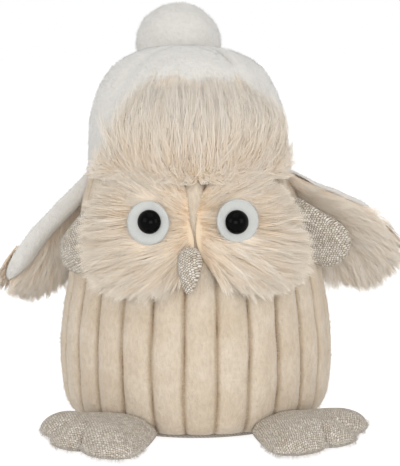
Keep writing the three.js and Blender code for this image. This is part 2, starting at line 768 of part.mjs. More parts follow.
function makeWing(side) {
  const { sign } = side;
  const angle = sign * degToRad(side.wingAngle);
  // the seam runs down the body's side, so the paddle swings forward and back about it
  const seamTop = onBody(angle, WING_TOP_Z, 0);
  const along = onBody(angle, WING_TOP_Z - WING_LENGTH, 0).sub(seamTop).normalize();
  const yaw = degToRad(side.wingYaw);
  const across = new THREE.Vector3(sign * Math.cos(yaw), Math.sin(yaw), 0);
  across.addScaledVector(along, -across.dot(along)).normalize();
  const top = seamTop.clone().addScaledVector(across, -WING_SINK);
  const through = new THREE.Vector3().crossVectors(along, across).normalize();
  const form = (inset, segments, rings) =>
    limb(
      (t) => {
        const round = (1 - Math.abs(2 * t - 1) ** 2.6) ** 0.5;
        const half = (WING_WIDTH / 2) * lerp(WING_ROOT_SHARE, 1, smoothstep(t, 0, WING_FLARE_SHARE));
        return {
          middle: top
            .clone()
            .addScaledVector(along, lerp(inset, WING_LENGTH - inset, t))
            .addScaledVector(across, half),
          across: across.clone().multiplyScalar((half - inset) * round),
          through: through.clone().multiplyScalar((WING_THICKNESS / 2 - inset) * round),
        };
      },
      segments,
      rings,
    );
  const hinge = { point: seamTop, axis: along.clone().multiplyScalar(sign) };
  return { form, hinge };
}

// The feet

function makeFoot(side) {
  const outward = heading(side.sign * degToRad(side.footAngle));
  const ahead = heading(side.sign * degToRad(side.footTurn));
  const across = new THREE.Vector3(-ahead.y, ahead.x, 0);
  const middle = outward.clone().multiplyScalar(BASE_RADIUS + FOOT_MIDDLE);
  const hinge = {
    point: outward.clone().multiplyScalar(BASE_RADIUS).addScaledVector(UP, ANKLE_Z),
    axis: new THREE.Vector3(outward.y, -outward.x, 0),
  };
  return { ahead, across, middle, hinge };
}

/** The pad's outline from its middle: it narrows to the heel, and has three round toes in front. */
function footOutline(inset) {
  const front = superellipse(FOOT_WIDTH / 2, FOOT_REACH, FRONT_POWER);
  const behind = superellipse(FOOT_WIDTH / 2, FOOT_BACK, HEEL_POWER);
  return (phi) => {
    const [a, b] = phi < Math.PI ? front(phi) : behind(phi);
    const offAhead = Math.abs(THREE.MathUtils.radToDeg(phi) - 90);
    const toe = Math.abs(Math.cos((Math.PI * offAhead) / TOE_SPREAD));
    const inToes = offAhead < TOE_SPREAD ? 1 : 0;
    const drawnIn = TOE_DEPTH * inToes * (1 - toe ** TOE_ROUNDNESS) + FILLING_DRAW * inset;
    const scale = 1 - drawnIn / Math.hypot(a, b);
    return [a * scale, b * scale];
  };
}

function footPad(foot, inset, segments, rings) {
  const rise = FOOT_THICKNESS - inset - FOOT_EDGE;
  return pad({
    outline: footOutline(inset),
    place: (a, b, height) =>
      foot.middle
        .clone()
        .addScaledVector(foot.across, a)
        .addScaledVector(foot.ahead, b)
        .setZ(height),
    front: (share, phi) => {
      const slim = 1 - TOE_SLIM * share * Math.max(Math.sin(phi), 0);
      return FOOT_EDGE + rise * (1 - share ** 2) ** 0.5 * slim;
    },
    back: (share) => SEAM_GAP + inset + (SOLE_RISE - inset / 2) * share ** 6,
    segments,
    rings,
  });
}

// Materials

const cloth = (color, roughness) =>
  new THREE.MeshStandardMaterial({ color, roughness, metalness: 0 });
const ribbedPlush = cloth(0xddccb3, 0.95);
const fleece = cloth(0xe9e6e0, 0.95);
const longFur = cloth(0xe2cfb5, 0.9);
const tweed = cloth(0xcbbfae, 0.9);
const whiteFelt = cloth(0xe3e8e8, 0.9);
const baseTwill = cloth(0xa9a29a, 0.9);
const fibre = cloth(0xf4f3ef, 1);
const ballastCloth = cloth(0xd8d2c6, 0.9);
const thread = cloth(0xe6e1d8, 0.8);
const blackBead = new THREE.MeshStandardMaterial({ color: 0x0b0a0a, roughness: 0.08, metalness: 0 });
const washerPlastic = new THREE.MeshStandardMaterial({ color: 0xe9e9e4, roughness: 0.5, metalness: 0 });

// Assembly

/** A group at a hinge, so that turning the group about the axis moves what is sewn on there. */
function atHinge(name, { point, axis }, parts) {
  const group = new THREE.Group();
  group.name = name;
  group.position.copy(point);
  group.userData.hingeAxis = axis.toArray();
  const back = new THREE.Matrix4().makeTranslation(point.clone().negate());
  for (const [part, solid, material] of parts) {
    group.add(meshOf(part, moved(solid, back), material));
  }
  return group;
}

/** A group whose own Z stands out of the surface that it sits on. */
function seated(name, matrix, parts) {
  const group = new THREE.Group();
  group.name = name;
  matrix.decompose(group.position, group.quaternion, group.scale);
  for (const [part, solid, material] of parts) group.add(meshOf(part, solid, material));
  return group;
}

function buildFace(owl, eyes, beak) {
  for (const eye of eyes) {
    const { name } = eye.side;
    owl.add(meshOf(`${name}_face_fur`, faceDiscSolid(eye, beak.room), longFur));
    owl.add(
      seated(`${name}_eye`, eye.placed, [
        [`${name}_eye_felt`, feltDisc(), whiteFelt],
        [`${name}_eye_bead`, eyeBead(eye), blackBead],
        [`${name}_eye_washer`, lockWasher(eye), washerPlastic],
      ]),
    );
  }
  const outer = beak.form(0, 14, 8);
  const inner = beak.form(LIMB_WALL, 12, 6);
  const keep = [beak.along.x, beak.along.y, beak.along.z];
  const level = beak.along.dot(beak.mouth);
  const cover = outer.subtract(inner).trimByPlane(keep, level);
  const filling = beak.form(LIMB_WALL + SEAM_GAP, 12, 6).trimByPlane(keep, level + SEAM_GAP);
  owl.add(
    atHinge("beak", beak.hinge, [
      ["beak_cover", cover, tweed],
      ["beak_filling", filling, fibre],
    ]),
  );
}

function buildHat(owl, pompom) {
  const hat = hatForm(2 * SEAM_GAP + HAT_WALL, () => 0);
  owl.add(meshOf("hat_crown", hatSolid(pompom), fleece));
  owl.add(meshOf("hat_brim_fur", brimSolid(hat), longFur));
  const { cover, filling } = pompomSolids();
  owl.add(
    seated("pompom", pompom.placed, [
      ["pompom_knot", ball(KNOT_WIDTH / 2, 0, 10, 6), thread],
      ["pompom_cover", cover, fleece],
      ["pompom_filling", filling, fibre],
    ]),
  );
}

function buildLimbs(owl, side) {
  const hat = hatForm(SEAM_GAP + HAT_WALL + SWING_GAP, () => 0);
  const flap = makeFlap(side);
  const shoulders = bodyForm(RIB_SAG + SWING_GAP, 0);
  const { fleece: outside, fur } = flapSolids(flap, shoulders.add(hat));
  owl.add(
    atHinge(`${side.name}_ear_flap`, flap.hinge, [
      [`${side.name}_flap_fleece`, outside, fleece],
      [`${side.name}_flap_fur`, fur, longFur],
    ]),
  );

  const body = bodyForm(RIB_SAG + LIMB_GAP, FOOT_BACK);
  const wing = makeWing(side);
  const clearWing = (solid) => clearSwing(solid, body, wing.hinge, -WING_BACK, WING_FORWARD, 3);
  owl.add(
    atHinge(`${side.name}_wing`, wing.hinge, [
      [
        `${side.name}_wing_cover`,
        clearWing(wing.form(0, 14, 8).subtract(wing.form(LIMB_WALL, 10, 6))),
        tweed,
      ],
      [
        `${side.name}_wing_filling`,
        clearWing(wing.form(LIMB_WALL + SEAM_GAP, 10, 6)),
        fibre,
      ],
    ]),
  );

  const foot = makeFoot(side);
  const clearFoot = (solid) => clearSwing(solid, body, foot.hinge, 0, FOOT_RAISE, 2);
  owl.add(
    atHinge(`${side.name}_foot`, foot.hinge, [
      [
        `${side.name}_foot_cover`,
        clearFoot(footPad(foot, 0, 36, 3).subtract(footPad(foot, LIMB_WALL, 24, 2))),
        tweed,
      ],
      [
        `${side.name}_foot_filling`,
        clearFoot(footPad(foot, LIMB_WALL + SEAM_GAP, 24, 2)),
        fibre,
      ],
    ]),
  );
}

function buildOwl() {
  const owl = new THREE.Group();
  owl.name = "plush_owl";
  const eyes = SIDES.map(makeEye);
  owl.add(meshOf("body_cover", coverSolid(eyes), ribbedPlush));
  owl.add(meshOf("body_filling", fillingSolid(eyes), fibre));
  owl.add(meshOf("base_panel", basePanelSolid(), baseTwill));
  owl.add(meshOf("ballast_bag", ballastSolid(0), ballastCloth));
  buildFace(owl, eyes, makeBeak());
  buildHat(owl, makePompom());
  for (const side of SIDES) buildLimbs(owl, side);
  return owl;
}

export default buildOwl();
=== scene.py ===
import math

import bpy
import numpy as np
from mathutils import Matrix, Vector


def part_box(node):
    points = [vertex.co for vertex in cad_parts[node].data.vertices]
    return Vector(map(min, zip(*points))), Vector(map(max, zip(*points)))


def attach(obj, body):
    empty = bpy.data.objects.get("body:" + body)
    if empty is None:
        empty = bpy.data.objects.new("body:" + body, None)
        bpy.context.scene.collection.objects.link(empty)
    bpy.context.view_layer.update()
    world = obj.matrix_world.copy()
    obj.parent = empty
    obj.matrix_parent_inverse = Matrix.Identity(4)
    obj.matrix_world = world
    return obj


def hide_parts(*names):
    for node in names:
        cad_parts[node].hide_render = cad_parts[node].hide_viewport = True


# The looks of the plush owl. Lengths are millimetres, angles degrees, until a mesh is made.
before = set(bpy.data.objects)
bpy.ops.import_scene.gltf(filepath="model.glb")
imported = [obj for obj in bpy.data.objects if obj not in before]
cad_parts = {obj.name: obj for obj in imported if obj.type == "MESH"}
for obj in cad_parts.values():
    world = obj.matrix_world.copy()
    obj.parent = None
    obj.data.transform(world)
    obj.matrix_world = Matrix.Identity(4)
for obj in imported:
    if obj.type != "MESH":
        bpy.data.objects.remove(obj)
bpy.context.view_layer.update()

MM = 0.001
SEED = 7
BAKE_MAP = "OFBake"
CLOTH_MAP = "cloth"

# Camera
CAMERA_PLACE = (2.6, -1200, 281)
CAMERA_AIM = (2.6, 0, 112)
CAMERA_LENS = 153.5
CAMERA_REACH = 20  # metres

# Light and floor. A lamp has a place, a width and a power in watts
LAMPS = {
    "lamp_left": ((-1000, -900, 500), 700, 3.4),
    "lamp_right": ((1050, -850, 420), 700, 3.4),
    "lamp_top": ((0, -450, 1200), 900, 2.1),
    "lamp_front": ((40, -1400, 150), 700, 5.8),
}
LAMP_AIM = (0, 0, 110)
SKY_LIGHT = 0.66
FLOOR_HALF = 4000
FLOOR_Z = -0.2
FLOOR_COLOUR = (0.45, 0.45, 0.45, 1)
FLOOR_GLOW = 0.42
SEEN_GLOW = 0.4  # that the floor gains where it is seen

# Body and head
WIDEST_Z = 40
BASE_RADIUS = 66.5
BODY_RADIUS = 82.5
HEAD_RADIUS = 57.5
HEAD_Z = 154
HEAD_TOP_Z = 222.7
HEAD_LEAN = 4.5
LEAN_START_Z = 96
COVER_BOTTOM_Z = 2.6
SEAM_TOP_Z = 3.6
BASE_ROUNDNESS = 2.7
SHOULDER_POWER = 1.9
DOME_POWER = 2.8
BODY_RINGS = (17, 60, 14)  # up to the widest part, up the side and over the dome
TURNED_IN = (26, 8)  # how far the rings under the body lie in from its side
PANEL_PROFILE = ((1.4, 0), (0.4, 0.35), (0, 1.1), (0.3, 1.9), (1.2, 2.2))  # inset and height
RIB_COUNT = 26
RIB_DEPTH = 4.2
RIB_TURN = -4.7
RIB_ROUND = 0.75  # the share of a rib's depth that is rounded, where the rest slopes
RIB_POWER = 3.4
POINTS_PER_RIB = 18
GROOVE_WANDER = ((0.004, 21, 3), (0.003, 9, 11))  # radians, over what z, and how often round
BROW_Z = 148  # where the filling pushes the cloth out between the discs
BROW_HALF = (7, 13)
BROW_SWELL = 6

# Lumps of soft cloth: height, width and seed
BODY_LUMPS = ((0.45, 30, 11), (0.2, 9, 12))
FELT_LUMPS = ((0.12, 4, 31),)
HAT_LUMPS = ((0.8, 34, 51), (0.35, 11, 52))
POMPOM_LUMPS = ((0.5, 14, 61),)
FLAP_LUMPS = ((0.5, 13, 71),)
FOOT_LUMPS = ((0.5, 16, 91),)

# Face. The key 1 is the owl's left and -1 is its right, here and below
EYE_ANGLE = 19.3
EYE_Z = {1: 129, -1: 128}
EYE_SEAT = 9.4
EYE_PITCH = 6
FACE_TURN = 1
FELT_RADIUS = 12.5
FELT_PROFILE = (  # inset from the radius, and height
    (0.5, 0.4), (0, 0.9), (-0.1, 1.4), (0, 1.9), (0.5, 2.3), (1.5, 2.4), (4.5, 2.4), (8.5, 2.3)
)
BEAD_ON_FELT = {1: (-1.4, -0.5), -1: (1.4, 0.8)}  # to the right and up
BEAD_RADIUS = 7
BEAD_RIM = 3.3
BEAD_DOME = 5.9
BEAD_SHANK = ((0, -16), (2.0, -16), (2.5, -15), (2.5, 2.4), (6.4, 2.45), (6.8, 2.7))
EYE_ON_DISC = (-7, 10.2)
DISC_HALF = (29.5, 27.8)
DISC_POWER = 2.1
DISC_THICKNESS = 12.5
DISC_LOW = 2.4  # the height of the hair at the disc's edge
PARTING_ON_DISC = (-42.5, 9.2)  # beyond the inner edge, a little below the eye
FUR_DRAWN_IN = 1.3  # at the inner side of a disc
FUR_SPREAD = 0.4  # at its outer side
FUR_TO_BRIM = 7
FUR_POWER = 2.8
INNER_POWER = {1: 2.5, -1: 7}  # how far the fur fills the inner corner
HAIR_OVER_EYE = (7.4, 5.5, 9)  # height at the felt, what it gains further out, and over what width

# Beak
BEAK_LENGTH = 27.5
BEAK_HALF = (8.25, 4.75)
BEAK_TOP_Z = 115.5
BEAK_TOP_OFFSET = 9.6
BEAK_TOP_TURN = -0.02  # radians
BEAK_TIP_OFFSET = 6.2
BEAK_SLANT = 8

# Hat
HAT_OFFSET = 3.8
HAT_WALL = 3
HAT_HEM_Z = 151
HAT_MIDDLE_Z = 150
HAT_SEGMENTS = 168
GORE_SEAM = 1.4
CREASE = np.array([(10, -4, 226.5), (23, -30.5, 217.5)])  # its ends, beside the pompom's thread
CREASE_DEPTH = 3.4
CREASE_WIDTH = 2.0
BRIM_HALF = (52.2, 26.5)
BRIM_POWER = 3.4
BRIM_TURN = 5
BRIM_MIDDLE_Z = 179.5
BRIM_TAPER = 0.12
BRIM_THICKNESS = 15
BEHIND_BRIM = (42, 196)  # degrees to each side, and the height up to which the fleece is hidden
POMPOM_RADIUS = 28

# Ear flaps. rolled is where the rolled front edge starts and roll is how thick it is. The fur grows
# away from a point that lies parting towards the front edge and back towards the seam, and it
# reaches fringe past the edge. droop and twist turn the flap, and hang lowers its hairs' tips
FLAP_HALF = (45.5, 25)
FLAP_POWER = 2.6
FLAP_ROOT_ANGLE = 102
FLAP_ROOT_SINK = 9
FLAP_ROOT_RISE = 0.5
FLAP_ROOT_SHARE = 0.66
FLAP_ROOT_TWIST = 30
FLAP_TWIST_SHARE = 0.7
FLAP_CUP = 6
FLAP_WALL = 3.6
FLAPS = {
    1: {
        "droop": 42, "twist": 70, "rolled": 22, "roll": 3, "parting": 0, "back": 18,
        "hang": 2, "fringe": 4,
    },
    -1: {
        "droop": 53, "twist": 40, "rolled": 8, "roll": 9, "parting": 30, "back": 54,
        "hang": 1, "fringe": 0,
    },
}

# Wings
WING_LENGTH = 46
WING_TOP_Z = 138
WING_HALF = 16
WING_HALF_THICKNESS = 6.6
WING_ROOT_SHARE = 0.45
WING_SINK = 5
WING_POWER = 2.6
WINGS = {
    1: {"angle": 72, "yaw": 10, "drop": 3},
    -1: {"angle": 54, "yaw": 38, "drop": 0},
}

# Feet
FOOT_OUT = 38  # from the body's base to the middle of a foot
FOOT_HALF = 47
FOOT_FRONT = 24
FOOT_BACK = 44
FOOT_SOLE = 0.4
FOOT_EDGE = 4.5
FOOT_THICKNESS = 13
FOOT_SEGMENTS = 168
TOE_SPREAD = 90
CLEFT_DEPTH = 10.5
FEET = {
    1: {"angle": 42, "turn": 58},
    -1: {"angle": 35, "turn": 59},
}

# Hair. clump is how far a lock's hairs gather, stray is in radians, and shortest is a share of the
# length. The softer the hair, the more its shading is that of the surface under it
STRANDS = 8800  # in one piece
HAIR_POINTS = 5
HAIR_WIDTH = (0.20, 0.34)
ALONG = np.linspace(0, 1, HAIR_POINTS)
LOCK_SIZE = (0.72, 1.2)
LOCK_RISE = (0.6, 1.15)
LONGEST = 1.12
OWN_STRAY = 0.45  # of a hair in its lock, as a share of the lock's
GATHER_POWER = 1.3
RISE_POWER = 2.6
TINT_SPREAD = 0.13
TINT_LIMITS = (0.01, 0.99)
BRIM_TOP_TINT = 0.25
PILE_SOFTNESS = 0.5
HAIR_KEYS = ("hairs", "locks", "clump", "stray", "shortest", "softness", "tint")
# the tint column darkens the face's hair as painted shade and pales the flaps' as painted light
FACE_HAIR, BRIM_HAIR, FLAP_HAIR, END_HAIR = (
    dict(zip(HAIR_KEYS, numbers))
    for numbers in (
        (STRANDS, 240, 0.74, 0.17, 0.5, 0.6, -0.13),
        (STRANDS, 330, 0.5, 0.13, 0.35, 0.8, 0),
        (STRANDS, 230, 0.72, 0.22, 0.5, 0.5, 0.15),
        (2600, 110, 0.55, 0.2, 0.5, 0.2, 0),
    )
)

# The colours of hair at its root, middle and tip, the colour of its pale locks, and its sheen
HAIR_LOOKS = {
    "long_fur": ((234, 201, 162), (253, 232, 206), (255, 244, 228), (255, 250, 241), 0.15),
    # the backing's pale colour is painted light, used where the flaps' lining lies in shade
    "fur_backing": ((222, 201, 172), (222, 201, 172), (222, 201, 172), (246, 231, 209), 0.15),
    "fleece_pile": ((212, 208, 202), (216, 213, 207), (220, 217, 212), (226, 224, 220), 0.6),
    "plush_nap": ((202, 184, 160), (214, 198, 176), (224, 210, 191), (230, 218, 200), 0.15),
    "yarn_ends": ((176, 163, 146), (212, 202, 188), (236, 230, 220), (248, 245, 240), 0.15),
    "felt_fuzz": ((196, 198, 194), (206, 208, 204), (217, 219, 215), (224, 226, 222), 0.15),
}

# Weave
KNOT_WIDTH = 1.6
ROW_SHARE = 0.8  # a row's width as a share of a knot's
WEAVE_TURN = 40


def srgb(red, green, blue):
    """A colour of 0 to 255 as it looks on a screen, in the linear form that shaders take."""
    parts = [c / 255 for c in (red, green, blue)]
    return (*(c / 12.92 if c < 0.04045 else ((c + 0.055) / 1.055) ** 2.4 for c in parts), 1)


# Shapes that the solids have too


def crest_radius(z):
    z = np.asarray(z, float)
    down = np.clip((WIDEST_Z - z) / (WIDEST_Z - COVER_BOTTOM_Z), 0, 1)
    bulge = (1 - down**BASE_ROUNDNESS) ** (1 / BASE_ROUNDNESS)
    low = BASE_RADIUS + (BODY_RADIUS - BASE_RADIUS) * bulge
    up = np.clip((z - WIDEST_Z) / (HEAD_Z - WIDEST_Z), 0, 1)
    side = BODY_RADIUS + (HEAD_RADIUS - BODY_RADIUS) * up**SHOULDER_POWER
    over = np.clip((z - HEAD_Z) / (HEAD_TOP_Z - HEAD_Z), 0, 1)
    dome = HEAD_RADIUS * (1 - over**DOME_POWER) ** (1 / DOME_POWER)
    return np.where(z < WIDEST_Z, low, np.where(z < HEAD_Z, side, dome))


def smooth(value, low, high):
    t = np.clip((np.asarray(value, float) - low) / (high - low), 0, 1)
    return t * t * (3 - 2 * t)


def rounded(share, power):
    """1 where the share is 0, and falling off like a cushion to 0 where it is 1."""
    return (1 - np.minimum(share, 1) ** power) ** 0.5


def around_body(angle, radius, z):
    """Points round the body's middle. Angle 0 is straight ahead, and grows towards +X."""
    angle, radius, z = np.broadcast_arrays(angle, radius, z)
    lean = -HEAD_LEAN * smooth(z, LEAN_START_Z, HEAD_Z)
    return np.stack([lean + radius * np.sin(angle), -radius * np.cos(angle), z], -1)


def on_body(angle, z, offset):
    return around_body(angle, crest_radius(z) + offset, z)


def heading(angle):
    return np.array([math.sin(angle), -math.cos(angle), 0])


def dome_point(angle, rise, grow):
    share = 2 / DOME_POWER
    radius = (HEAD_RADIUS + grow) * np.maximum(np.cos(rise), 0) ** share
    z = HEAD_Z + (HEAD_TOP_Z - HEAD_Z + grow) * np.sin(rise) ** share
    return around_body(angle, radius, z)


def waves(points, width, seed):
    """A smooth random field from about -1 to 1, whose lumps are about as wide as width."""
    draw = np.random.default_rng(seed)
    total = 0
    for _ in range(9):
        way = draw.normal(size=3)
        way *= math.pi / width / np.linalg.norm(way) * draw.uniform(0.6, 1.5)
        total = total + np.sin(points @ way + draw.uniform(0, 2 * math.pi))
    return total / 3.2


def lumps(points, fields):
    """How far soft cloth swells at each point."""
    return sum(height * waves(points, width, seed) for height, width, seed in fields)


# Meshes


def new_mesh(name, points, faces):
    """A mesh from points and from arrays of faces, one array for each number of corners."""
    mesh = bpy.data.meshes.new(name)
    mesh.vertices.add(len(points))
    mesh.vertices.foreach_set("co", (np.asarray(points) * MM).astype(np.float32).ravel())
    corners = np.concatenate([np.asarray(f, np.int32).ravel() for f in faces])
    sizes = np.concatenate([np.full(len(f), np.shape(f)[1], np.int32) for f in faces])
    mesh.loops.add(len(corners))
    mesh.loops.foreach_set("vertex_index", corners)
    mesh.polygons.add(len(sizes))
    mesh.polygons.foreach_set("loop_start", np.cumsum(sizes, dtype=np.int32) - sizes)
    mesh.update(calc_edges=True)
    mesh.polygons.foreach_set("use_smooth", np.ones(len(sizes), bool))
    return mesh, corners


def piece(name, points, faces, material, body, slot, nodes=(), fill=None, values=None, maps=None):
    """A piece of the owl that rides on a body.

    values and maps hold a number or a (u, v) at each point.
    """
    mesh, corners = new_mesh(name, points, faces)
    for key, value in (values or {}).items():
        numbers = np.asarray(value, np.float32)
        mesh.attributes.new(key, "FLOAT", "POINT").data.foreach_set("value", numbers)
    for key, value in (maps or {}).items():
        places = np.asarray(value, np.float32)[corners].ravel()
        mesh.uv_layers.new(name=key).data.foreach_set("uv", places)
    mesh.materials.append(material)
    made = bpy.data.objects.new(name, mesh)
    bpy.context.scene.collection.objects.link(made)
    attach(made, body)
    if nodes:
        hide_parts(*nodes)
    return made


def outward(points, faces):
    """The faces, turned round where the closed surface would be inside out."""
    volume = sum(
        np.einsum("ij,ij->", points[f[:, 0]], np.cross(points[f[:, k]], points[f[:, k + 1]]))
        for f in faces
        for k in range(1, f.shape[1] - 1)
    )
    return faces if volume > 0 else [f[:, ::-1] for f in faces]


def stacked(rings):
    """A closed surface through rings of equal length, with a point at each end."""
    first, *middle, last = rings
    count = len(middle[0])
    points = np.concatenate([np.reshape(first, (1, 3)), *middle, np.reshape(last, (1, 3))])
    here = np.arange(count)
    after = (here + 1) % count
    band = np.stack([1 + here, 1 + after, 1 + count + after, 1 + count + here], 1)
    quads = np.concatenate([band + k * count for k in range(len(middle) - 1)])
    top = 1 + (len(middle) - 1) * count
    ends = np.concatenate([
        np.stack([np.zeros(count, int), 1 + after, 1 + here], 1),
        np.stack([top + here, top + after, np.full(count, len(points) - 1)], 1),
    ])
    return points, outward(points, [quads, ends])


def circle(segments):
    return np.arange(segments) / segments * 2 * math.pi


def superellipse(half_a, half_b, power, angle):
    shares = np.abs(np.cos(angle) / half_a) ** power + np.abs(np.sin(angle) / half_b) ** power
    radius = shares ** (-1 / power)
    return radius * np.cos(angle), radius * np.sin(angle)


def share_of(a, b, half, power):
    """0 in the middle of a superellipse, 1 on its outline."""
    return (np.abs(a / half[0]) ** power + np.abs(b / half[1]) ** power) ** (1 / power)


def pad(outline, place, front, back, segments, rings):
    """A soft pad: rings out along its back and in along its front, with their flat (a, b) too."""
    angle = circle(segments)
    a, b = outline(angle)
    shares = np.sin(np.arange(1, rings + 1) / rings * math.pi / 2)
    middle = np.zeros(1)
    flat = [(middle, middle, back(middle, angle[:1]))]
    flat += [(a * s, b * s, back(np.full(segments, s), angle)) for s in shares]
    flat += [(a * s, b * s, front(np.full(segments, s), angle)) for s in shares[::-1]]
    flat += [(middle, middle, front(middle, angle[:1]))]
    points, faces = stacked([place(*ring) for ring in flat])
    return points, faces, np.concatenate([np.stack(ring[:2], 1) for ring in flat])


def crown(full, edge):
    """The height of a pad's side that is rounded from its middle to its edge."""
    return lambda share, angle: edge + (full - edge) * rounded(share, 2)


def level(height):
    return lambda share, angle: np.full(len(share), float(height))


# Materials, whose patterns and reliefs are measured in metres


def add_node(tree, kind, settings=None, **inputs):
    node = tree.nodes.new(kind)
    for key, value in (settings or {}).items():
        setattr(node, key, value)
    for key, value in inputs.items():
        socket = node.inputs[int(key[1:]) if key[0] == "_" else key.replace("_", " ")]
        if isinstance(value, bpy.types.NodeSocket):
            tree.links.new(value, socket)
        else:
            socket.default_value = value
    return node


def maths(tree, operation, first, second=0.0):
    settings = {"operation": operation}
    return add_node(tree, "ShaderNodeMath", settings, _0=first, _1=second).outputs[0]


def plus(tree, first, second):
    return maths(tree, "ADD", first, second)


def times(tree, first, second):
    return maths(tree, "MULTIPLY", first, second)


def arched(tree, value):
    """0 at each whole number, and 1 halfway between two."""
    return maths(tree, "ABSOLUTE", maths(tree, "SINE", times(tree, value, math.pi)))


def mixed(tree, factor, first, second, blend="MIX"):
    settings = {"data_type": "RGBA", "blend_type": blend}
    node = add_node(tree, "ShaderNodeMix", settings, _0=factor, _6=first, _7=second)
    return node.outputs[2]


def shaded(tree, colour, shade):
    return mixed(tree, 1.0, colour, shade, "MULTIPLY")


def ramp(tree, value, *stops):
    """Stops are a place and a colour, or a place and a level of grey."""
    node = add_node(tree, "ShaderNodeValToRGB", _0=value)
    elements = node.color_ramp.elements
    while len(elements) < len(stops):
        elements.new(1.0)
    for element, (place, colour) in zip(elements, stops):
        element.position = place
        element.color = srgb(*colour) if isinstance(colour, tuple) else (*[colour] * 3, 1)
    return node.outputs[0]


def noise(tree, where, scale, detail, roughness=0.5):
    settings = {"Vector": where, "Scale": scale, "Detail": detail, "Roughness": roughness}
    return add_node(tree, "ShaderNodeTexNoise", **settings).outputs[0]


def bands(tree, direction, scale, distortion, detail):
    """Light and dark bands, for a twill's ribs or a thread's turns."""
    return add_node(
        tree, "ShaderNodeTexWave", {"bands_direction": direction},
        Vector=object_place(tree), Scale=scale, Distortion=distortion, Detail=detail,
    ).outputs[1]


def attribute(tree, name):
    return add_node(tree, "ShaderNodeAttribute", {"attribute_name": name}).outputs["Fac"]


def object_place(tree):
    return add_node(tree, "ShaderNodeTexCoord").outputs["Object"]


def bumped(tree, height, distance, strength):
    settings = {"Strength": strength, "Distance": distance, "Height": height}
    return add_node(tree, "ShaderNodeBump", **settings).outputs[0]


def new_material(name, roughness, specular, sheen=0.0):
    material = bpy.data.materials.new(name)
    material.use_nodes = True
    shader = material.node_tree.nodes["Principled BSDF"]
    for key, value in (
        ("Roughness", roughness), ("Specular IOR Level", specular), ("Sheen Weight", sheen),
        ("Sheen Roughness", 0.4),
    ):
        shader.inputs[key].default_value = value
    return material, material.node_tree, shader


def dress(tree, shader, colour, normal=None):
    tree.links.new(colour, shader.inputs["Base Color"])
    if normal is not None:
        tree.links.new(normal, shader.inputs["Normal"])


def hair_material(name, root, middle, tip, pale, sheen):
    """Long or short hair: darker at the root, with a tint that differs from lock to lock."""
    material, tree, shader = new_material(name, 0.7, 0.2, sheen)
    along = ramp(tree, attribute(tree, "along"), (0, root), (0.4, middle), (1, tip))
    tint = attribute(tree, "tint")
    colour = mixed(tree, ramp(tree, tint, (0.35, 0), (1, 0.75)), along, srgb(*pale))
    dress(tree, shader, shaded(tree, colour, ramp(tree, tint, (0, 0.8), (0.45, 1))))
    return material


def plush_material():
    """Short plush nap: mottled where the pile lies another way, with shade painted into the
    grooves.
    """
    material, tree, shader = new_material("ribbed_plush", 0.95, 0.12, sheen=0.35)
    place = object_place(tree)
    stretched = add_node(tree, "ShaderNodeMapping", Vector=place, Scale=(1, 1, 0.45)).outputs[0]
    patches = ramp(tree, noise(tree, place, 45, 3, 0.6), (0.38, 0), (0.66, 1))
    nap = noise(tree, stretched, 520, 3, 0.6)
    specks = noise(tree, stretched, 1500, 1)
    colour = mixed(tree, patches, srgb(215, 201, 182), srgb(206, 189, 167))
    colour = shaded(tree, colour, ramp(tree, nap, (0.3, 0.9), (0.62, 1.03)))
    # painted shade: the plush is darker the deeper it lies in a groove
    groove_shade = ramp(tree, attribute(tree, "groove_shade"), (0.3, 1), (0.9, (188, 169, 146)))
    height = plus(tree, nap, times(tree, specks, 0.5))
    dress(tree, shader, shaded(tree, colour, groove_shade), bumped(tree, height, 0.0011, 0.8))
    return material


def fleece_material():
    material, tree, shader = new_material("fleece", 0.95, 0.12, sheen=0.6)
    place = object_place(tree)
    tufts = noise(tree, place, 420, 3, 0.65)
    patches = noise(tree, place, 60, 3, 0.6)
    colour = mixed(tree, patches, srgb(220, 217, 212), srgb(215, 212, 206))
    colour = shaded(tree, colour, ramp(tree, tufts, (0.3, 0.95), (0.65, 1.02)))
    dress(tree, shader, colour, bumped(tree, tufts, 0.0010, 0.6))
    return material


def felt_material():
    material, tree, shader = new_material("white_felt", 0.95, 0.15, sheen=0.2)
    fibres = noise(tree, object_place(tree), 1100, 4, 0.7)
    colour = mixed(tree, fibres, srgb(192, 193, 190), srgb(211, 212, 208))
    dress(tree, shader, colour, bumped(tree, fibres, 0.0005, 0.6))
    return material


